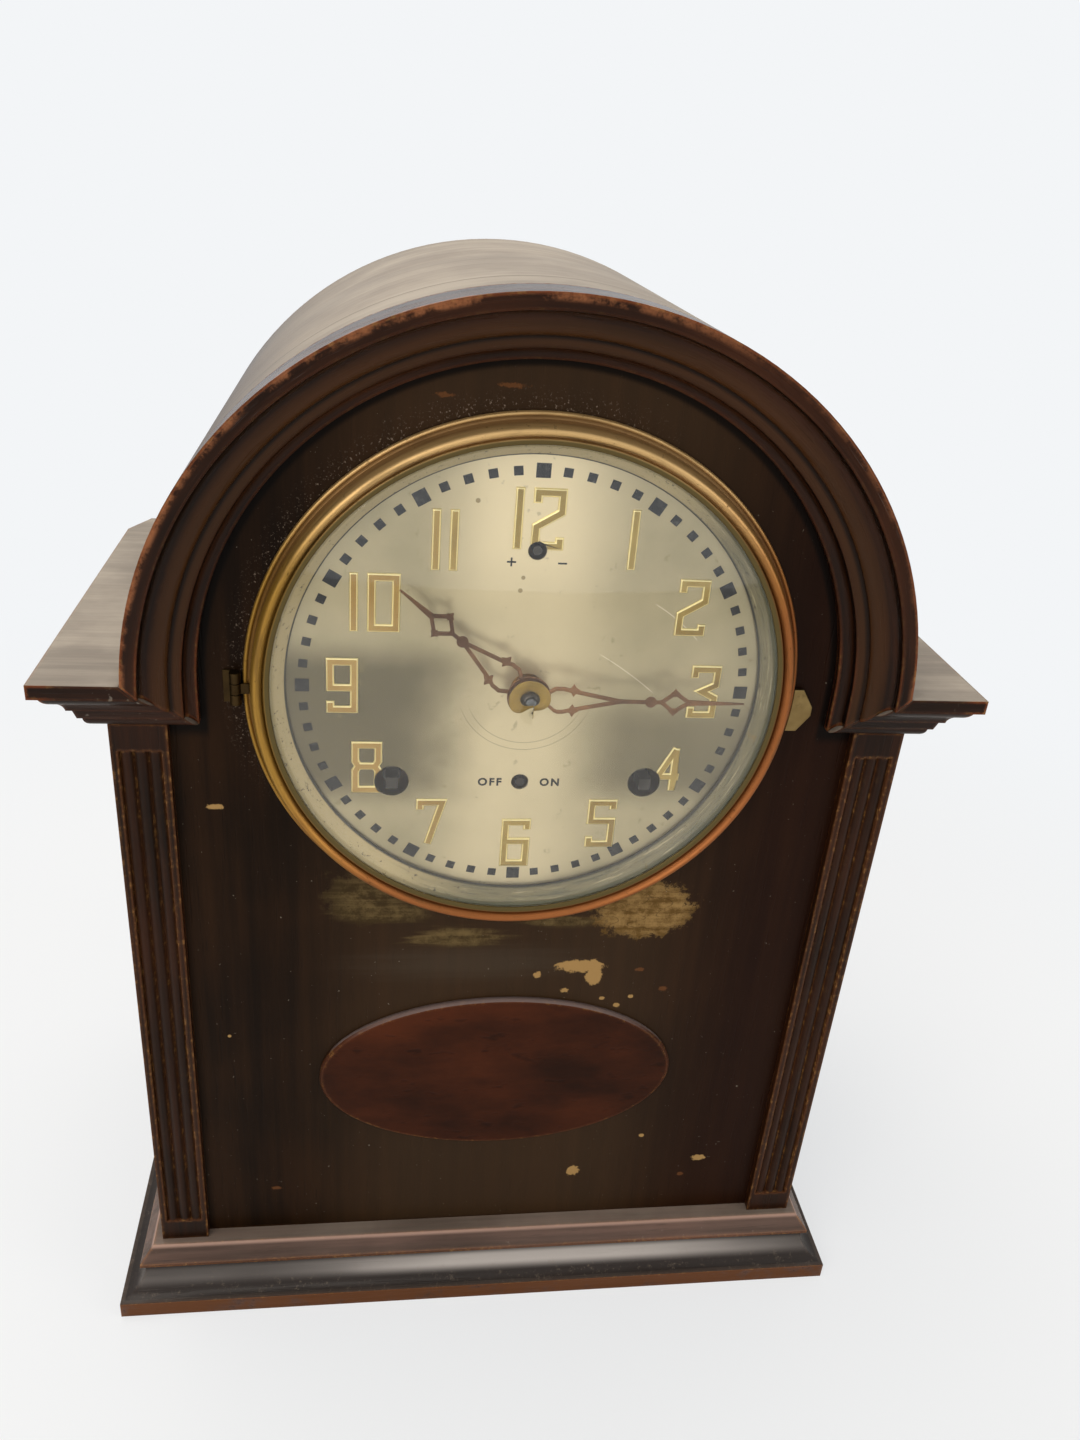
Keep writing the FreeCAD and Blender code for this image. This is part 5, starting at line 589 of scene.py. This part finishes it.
dial_centre = Vector((0, 0, dial_height))
dial_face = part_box("hour_numerals")[1].y
print_depth = 0.00006
print_y = dial_face - print_depth / 2
dial_print = Finish("dial_print", Specular_IOR_Level=0.1)
print_wear = dial_print.fade(dial_print.noise(dial_print.place(), 900, 3, 0.7), 0.5, 0.72)
dial_print.finish(dial_print.blend(tone("#222426"), tone("#4c4c4a"), print_wear), 0.5)
square_reach, hour_square, minute_square = 0.0659, 0.0041, 0.0026
squares = bmesh.new()
for minute in range(60):
    angle = math.tau * minute / 60
    side = hour_square if minute % 5 == 0 else minute_square
    centre = dial_centre + Vector((math.sin(angle), 0, math.cos(angle))) * square_reach
    centre.y = print_y
    block(squares, (side, print_depth, side), centre, angle)
piece("minute_squares", squares, dial_print, "case")
sign_length, sign_stroke, sign_height = 0.0026, 0.0005, 0.2895
plus_x, minus_x = -0.0072, 0.0074
signs = bmesh.new()
block(signs, (sign_length, print_depth, sign_stroke), (plus_x, print_y, sign_height))
block(signs, (sign_length, print_depth, sign_stroke), (minus_x, print_y, sign_height))
block(signs, (sign_stroke, print_depth, sign_length), (plus_x, print_y, sign_height))
piece("regulator_signs", signs, dial_print, "case")
letter_height, letter_base, letter_reach = 0.0025, 0.2167, 0.0094
capital_share, letter_swell, letter_spacing = 0.7, 0.00013, 1.3


def lettering(name, text, centre_x):
    curve = bpy.data.curves.new(name, "FONT")
    curve.body = text
    curve.size = letter_height / capital_share
    curve.align_x = "CENTER"
    curve.extrude = print_depth / 2
    curve.offset = letter_swell
    curve.space_character = letter_spacing
    source = bpy.data.objects.new(name + "_line", curve)
    mesh = bpy.data.meshes.new_from_object(source)
    bpy.data.objects.remove(source)
    upright_turn = Matrix.Rotation(math.pi / 2, 4, "X")
    mesh.transform(Matrix.Translation((centre_x, print_y, letter_base)) @ upright_turn)
    mesh.materials.clear()
    mesh.materials.append(dial_print.material)
    made = bpy.data.objects.new(name, mesh)
    bpy.context.scene.collection.objects.link(made)
    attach(made, "case")


lettering("off_sign", "OFF", -letter_reach)
lettering("on_sign", "ON", letter_reach)

# Hour figures: squared block figures pressed up from the dial and gilt, with a painted highlight on their
# bevelled edges and painted shade on their sides.
gilt = metal("gilt_figures", "#b59d5a", "#957d45", 0.3, spots=0.15, edge_bright=0.5)
gilt_x = gilt.parts_of(gilt.place())[0]
gilt_front = abs(gilt.facing()[1])
gilt_colour = gilt.blend(gilt.coat(), tone("#c39256"), (1 - gilt.fade(gilt_x, -0.04, -0.015)) * 0.3)
# Painted highlight on the bevel faces and painted shade on the figures' sides, chosen by how they face.
gilt_colour = gilt.blend(tone("#fff0b0"), gilt_colour, gilt.fade(gilt_front, 0.9, 0.98))
gilt_colour = gilt.blend(tone("#4a4222"), gilt_colour, gilt.fade(gilt_front, 0.2, 0.4))
gilt.recoat(gilt_colour)
bevel_width, shortest_bevelled, on_face = 0.00048, 0.0008, 0.00001
figures = bmesh.new()
figures.from_mesh(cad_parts["hour_numerals"].data)
bmesh.ops.remove_doubles(figures, verts=figures.verts, dist=0.000002)
bmesh.ops.dissolve_limit(figures, angle_limit=0.02, verts=figures.verts, edges=figures.edges)
front_edges = [edge for edge in figures.edges
               if all(abs(v.co.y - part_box("hour_numerals")[0].y) < on_face for v in edge.verts)
               and edge.calc_face_angle(0) > 1 and edge.calc_length() > shortest_bevelled]
bmesh.ops.bevel(figures, geom=front_edges, offset=bevel_width, affect="EDGES", segments=2, profile=0.5,
                material=-1)
raised_figures = piece("raised_figures", figures, gilt, "case", 0.3)
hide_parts("hour_numerals")

# Hands: pierced steel blades, bronzed and gone rusty brown, on the hour pipe and the centre arbor's square,
# under a brass washer and a small domed steel nut.
bronze = metal("bronzed_hands", "#96704e", "#5c4230", 0.5, spot="#33241a", spots=0.6, edge_bright=0.4,
               relief=0.0002)
dress(bronze, "hour_hand", "minute_hand")
washer_brass = metal("washer_brass", "#ad9048", "#6e5828", 0.36, spot="#4a3514", spots=0.15)
dress(washer_brass, "hand_washer")
nut_steel = metal("nut_steel", "#4a463f", "#211e1a", 0.32, spots=0.4)
dress(nut_steel, "hand_nut")


# Slip ring: a sloping sheet ring painted ivory, held inside the bezel. The paint is crazed and chipped,
# cream at the left and grey-green where tarnish has come through below and at the right.
def round_bezel(finish):
    x, y, z = finish.parts_of(finish.place())
    along = finish.sum("ARCTAN2", x, z - dial_height) * 0.078
    return finish.node("CombineXYZ", sockets={0: reach_of(x, z - dial_height), 1: y, 2: along}), x, z


ivory = Finish("ivory_paint", Specular_IOR_Level=0.25)
ivory_round, ivory_x, ivory_z = round_bezel(ivory)
ivory_right = ivory.fade(ivory_x - (ivory_z - dial_height) * 0.6, -0.01, 0.035)
ivory_colour = ivory.blend(tone("#b3a47a"), tone("#706a4e"), ivory_right)
streaks = ivory.noise(ivory.stretched(ivory_round, (900, 900, 60)), 1, 4, 0.7)
grey_streaks = ivory.fade(streaks, 0.5, 0.68) * (0.1 + 0.8 * ivory_right)
ivory_colour = ivory.blend(ivory_colour, tone("#4c4e3c"), grey_streaks)
pale_streaks = ivory.fade(1 - streaks, 0.56, 0.7) * ivory_right * 0.8
ivory_colour = ivory.blend(ivory_colour, tone("#aea585"), pale_streaks)
ivory_speck = ivory.noise(ivory.place(), 700, 3, 0.75)
ivory_colour = ivory.blend(ivory_colour, tone("#2e2719"), ivory.fade(ivory_speck, 0.61, 0.68) * 0.85)
ivory_chip = ivory.fade(ivory.noise(ivory.place(), 90, 4, 0.7), 0.63, 0.67)
ivory_chip = ivory_chip * (1 - ivory.fade(ivory_z, 0.22, 0.26))
ivory_colour = ivory.blend(ivory_colour, tone("#7d6a3c"), ivory_chip)
ivory_reach = ivory.parts_of(ivory_round)[0]
ivory_colour = ivory.blend(ivory_colour, tone("#24231a"), 1 - ivory.fade(ivory_reach, 0.0707, 0.0711))
ivory_rim = ivory.fade(ivory_reach, 0.0733, 0.0745) * (0.3 + 0.6 * ivory_right)
ivory_colour = ivory.blend(ivory_colour, tone("#3b4030"), ivory_rim)
ivory.finish(ivory_colour, 0.38 + 0.3 * ivory_chip, ivory_speck * 0.2 - ivory_chip, 0.0002)
dress(ivory, "bezel_slip_ring")


# Bezel: spun from sheet brass, with a thin flange, a groove, a round roll and an inner lip at the glass. Old
# lacquer leaves it golden above and copper-red at the right and below. A tab is soldered on, and a hinge
# holds its left.
def spun(name, profile, finish, body, steps=224, sharp=0.6):
    form = bmesh.new()
    ring = [form.verts.new((radius, y, 0)) for radius, y in profile]
    edges = [form.edges.new(pair) for pair in zip(ring, ring[1:] + ring[:1])]
    bmesh.ops.spin(form, geom=ring + edges, cent=(0, 0, 0), axis=(0, 1, 0), dvec=(0, 0, 0), angle=math.tau,
                   steps=steps, use_merge=True)
    bmesh.ops.remove_doubles(form, verts=form.verts, dist=0.0000005)
    bmesh.ops.recalc_face_normals(form, faces=form.faces)
    bmesh.ops.translate(form, verts=form.verts, vec=dial_centre)
    return piece(name, form, finish, body, sharp)


copper = Finish("bezel_brass", Metallic=0.65, Specular_IOR_Level=0.3)
copper_round, copper_x, copper_z = round_bezel(copper)
copper_cloud = copper.noise(copper.stretched(copper_round, (400, 400, 40)), 1, 4, 0.6)
redness = copper_x * 0.8 - (copper_z - dial_height) + (copper_cloud - 0.5) * 0.05
redness = copper.fade(redness, -0.045, 0.045)
copper_top = copper.fade(copper_z, 0.28, 0.32)
copper_colour = copper.blend(tone("#a07a34"), tone("#cfab74"), copper_top)
copper_colour = copper.blend(copper_colour, tone("#93592e"), redness)
copper_colour = copper.blend(copper_colour, tone("#5c4526"), copper.fade(copper_cloud, 0.5, 0.7) * 0.5)
copper_speck = copper.noise(copper.place(), 500, 3, 0.7)
copper_colour = copper.blend(copper_colour, tone("#33240f"), copper.fade(copper_speck, 0.62, 0.72) * 0.5)
copper_rounded, copper_edge = copper.worn_normal(0.0005)
copper_depth = copper.parts_of(copper_round)[0]
low_groove = copper.fade(copper_depth, 0.0798, 0.0803) * (1 - copper.fade(copper_depth, 0.0811, 0.0815))
copper_colour = copper.blend(copper_colour, tone("#5a3c24"), low_groove * 0.6)
copper_colour = copper.blend(tone("#5a4d2c"), copper_colour, copper.fade(copper_depth, 0.0757, 0.0768))
copper.finish(copper_colour, 0.42 + 0.16 * (copper_cloud - 0.5) + 0.2 * copper.fade(copper_speck, 0.6, 0.75),
              copper_speck * 0.3 + copper_cloud * 0.3, 0.00006, copper_rounded)
ring_low, ring_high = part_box("bezel_ring")
back, front = ring_high.y, ring_low.y
profile = [(0.0825, back), (0.0825, back - 0.0006), (0.0822, back - 0.0011), (0.0818, back - 0.00125),
           (0.0814, back - 0.0011), (0.0812, back - 0.0008), (0.0804, back - 0.0007), (0.0803, back - 0.0012)]
roll_middle, roll_half_width, roll_rise = 0.0784, 0.0019, 0.0052
for index in range(13):
    angle = math.radians(index * 13)
    profile.append((roll_middle + roll_half_width * math.cos(angle),
                    front + roll_rise - roll_rise * math.sin(angle)))
profile += [(0.0763, front + 0.0014), (0.0755, front + 0.0015), (0.0748, front + 0.0017),
            (0.07465, front + 0.0020), (0.07465, front + 0.0022), (0.0755, front + 0.0044),
            (0.0768, back - 0.0006), (0.0776, back)]
bezel = spun("spun_bezel", profile, copper, "bezel")
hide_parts("bezel_ring")
dress(metal("tab_brass", "#a08a5c", "#6e5a38", 0.42, spots=0.5), "bezel_tab")
dress(metal("hinge_brass", "#4a3a22", "#2a2014", 0.5, spots=0.5), "bezel_hinge_plate", "bezel_hinge_leaf")

# Glass: a domed disc held by the bezel's lip.
glass = Finish("bezel_crystal", Transmission_Weight=1.0, IOR=1.45, Roughness=0.02, Specular_IOR_Level=0.5)
wiped = glass.noise(glass.stretched(glass.place(), (60, 60, 20)), 1, 4, 0.7)
glass.finish((1, 1, 1, 1), 0.015 + 0.05 * glass.fade(wiped, 0.5, 0.75))
dress(glass, "bezel_glass")
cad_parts["bezel_glass"].visible_shadow = False
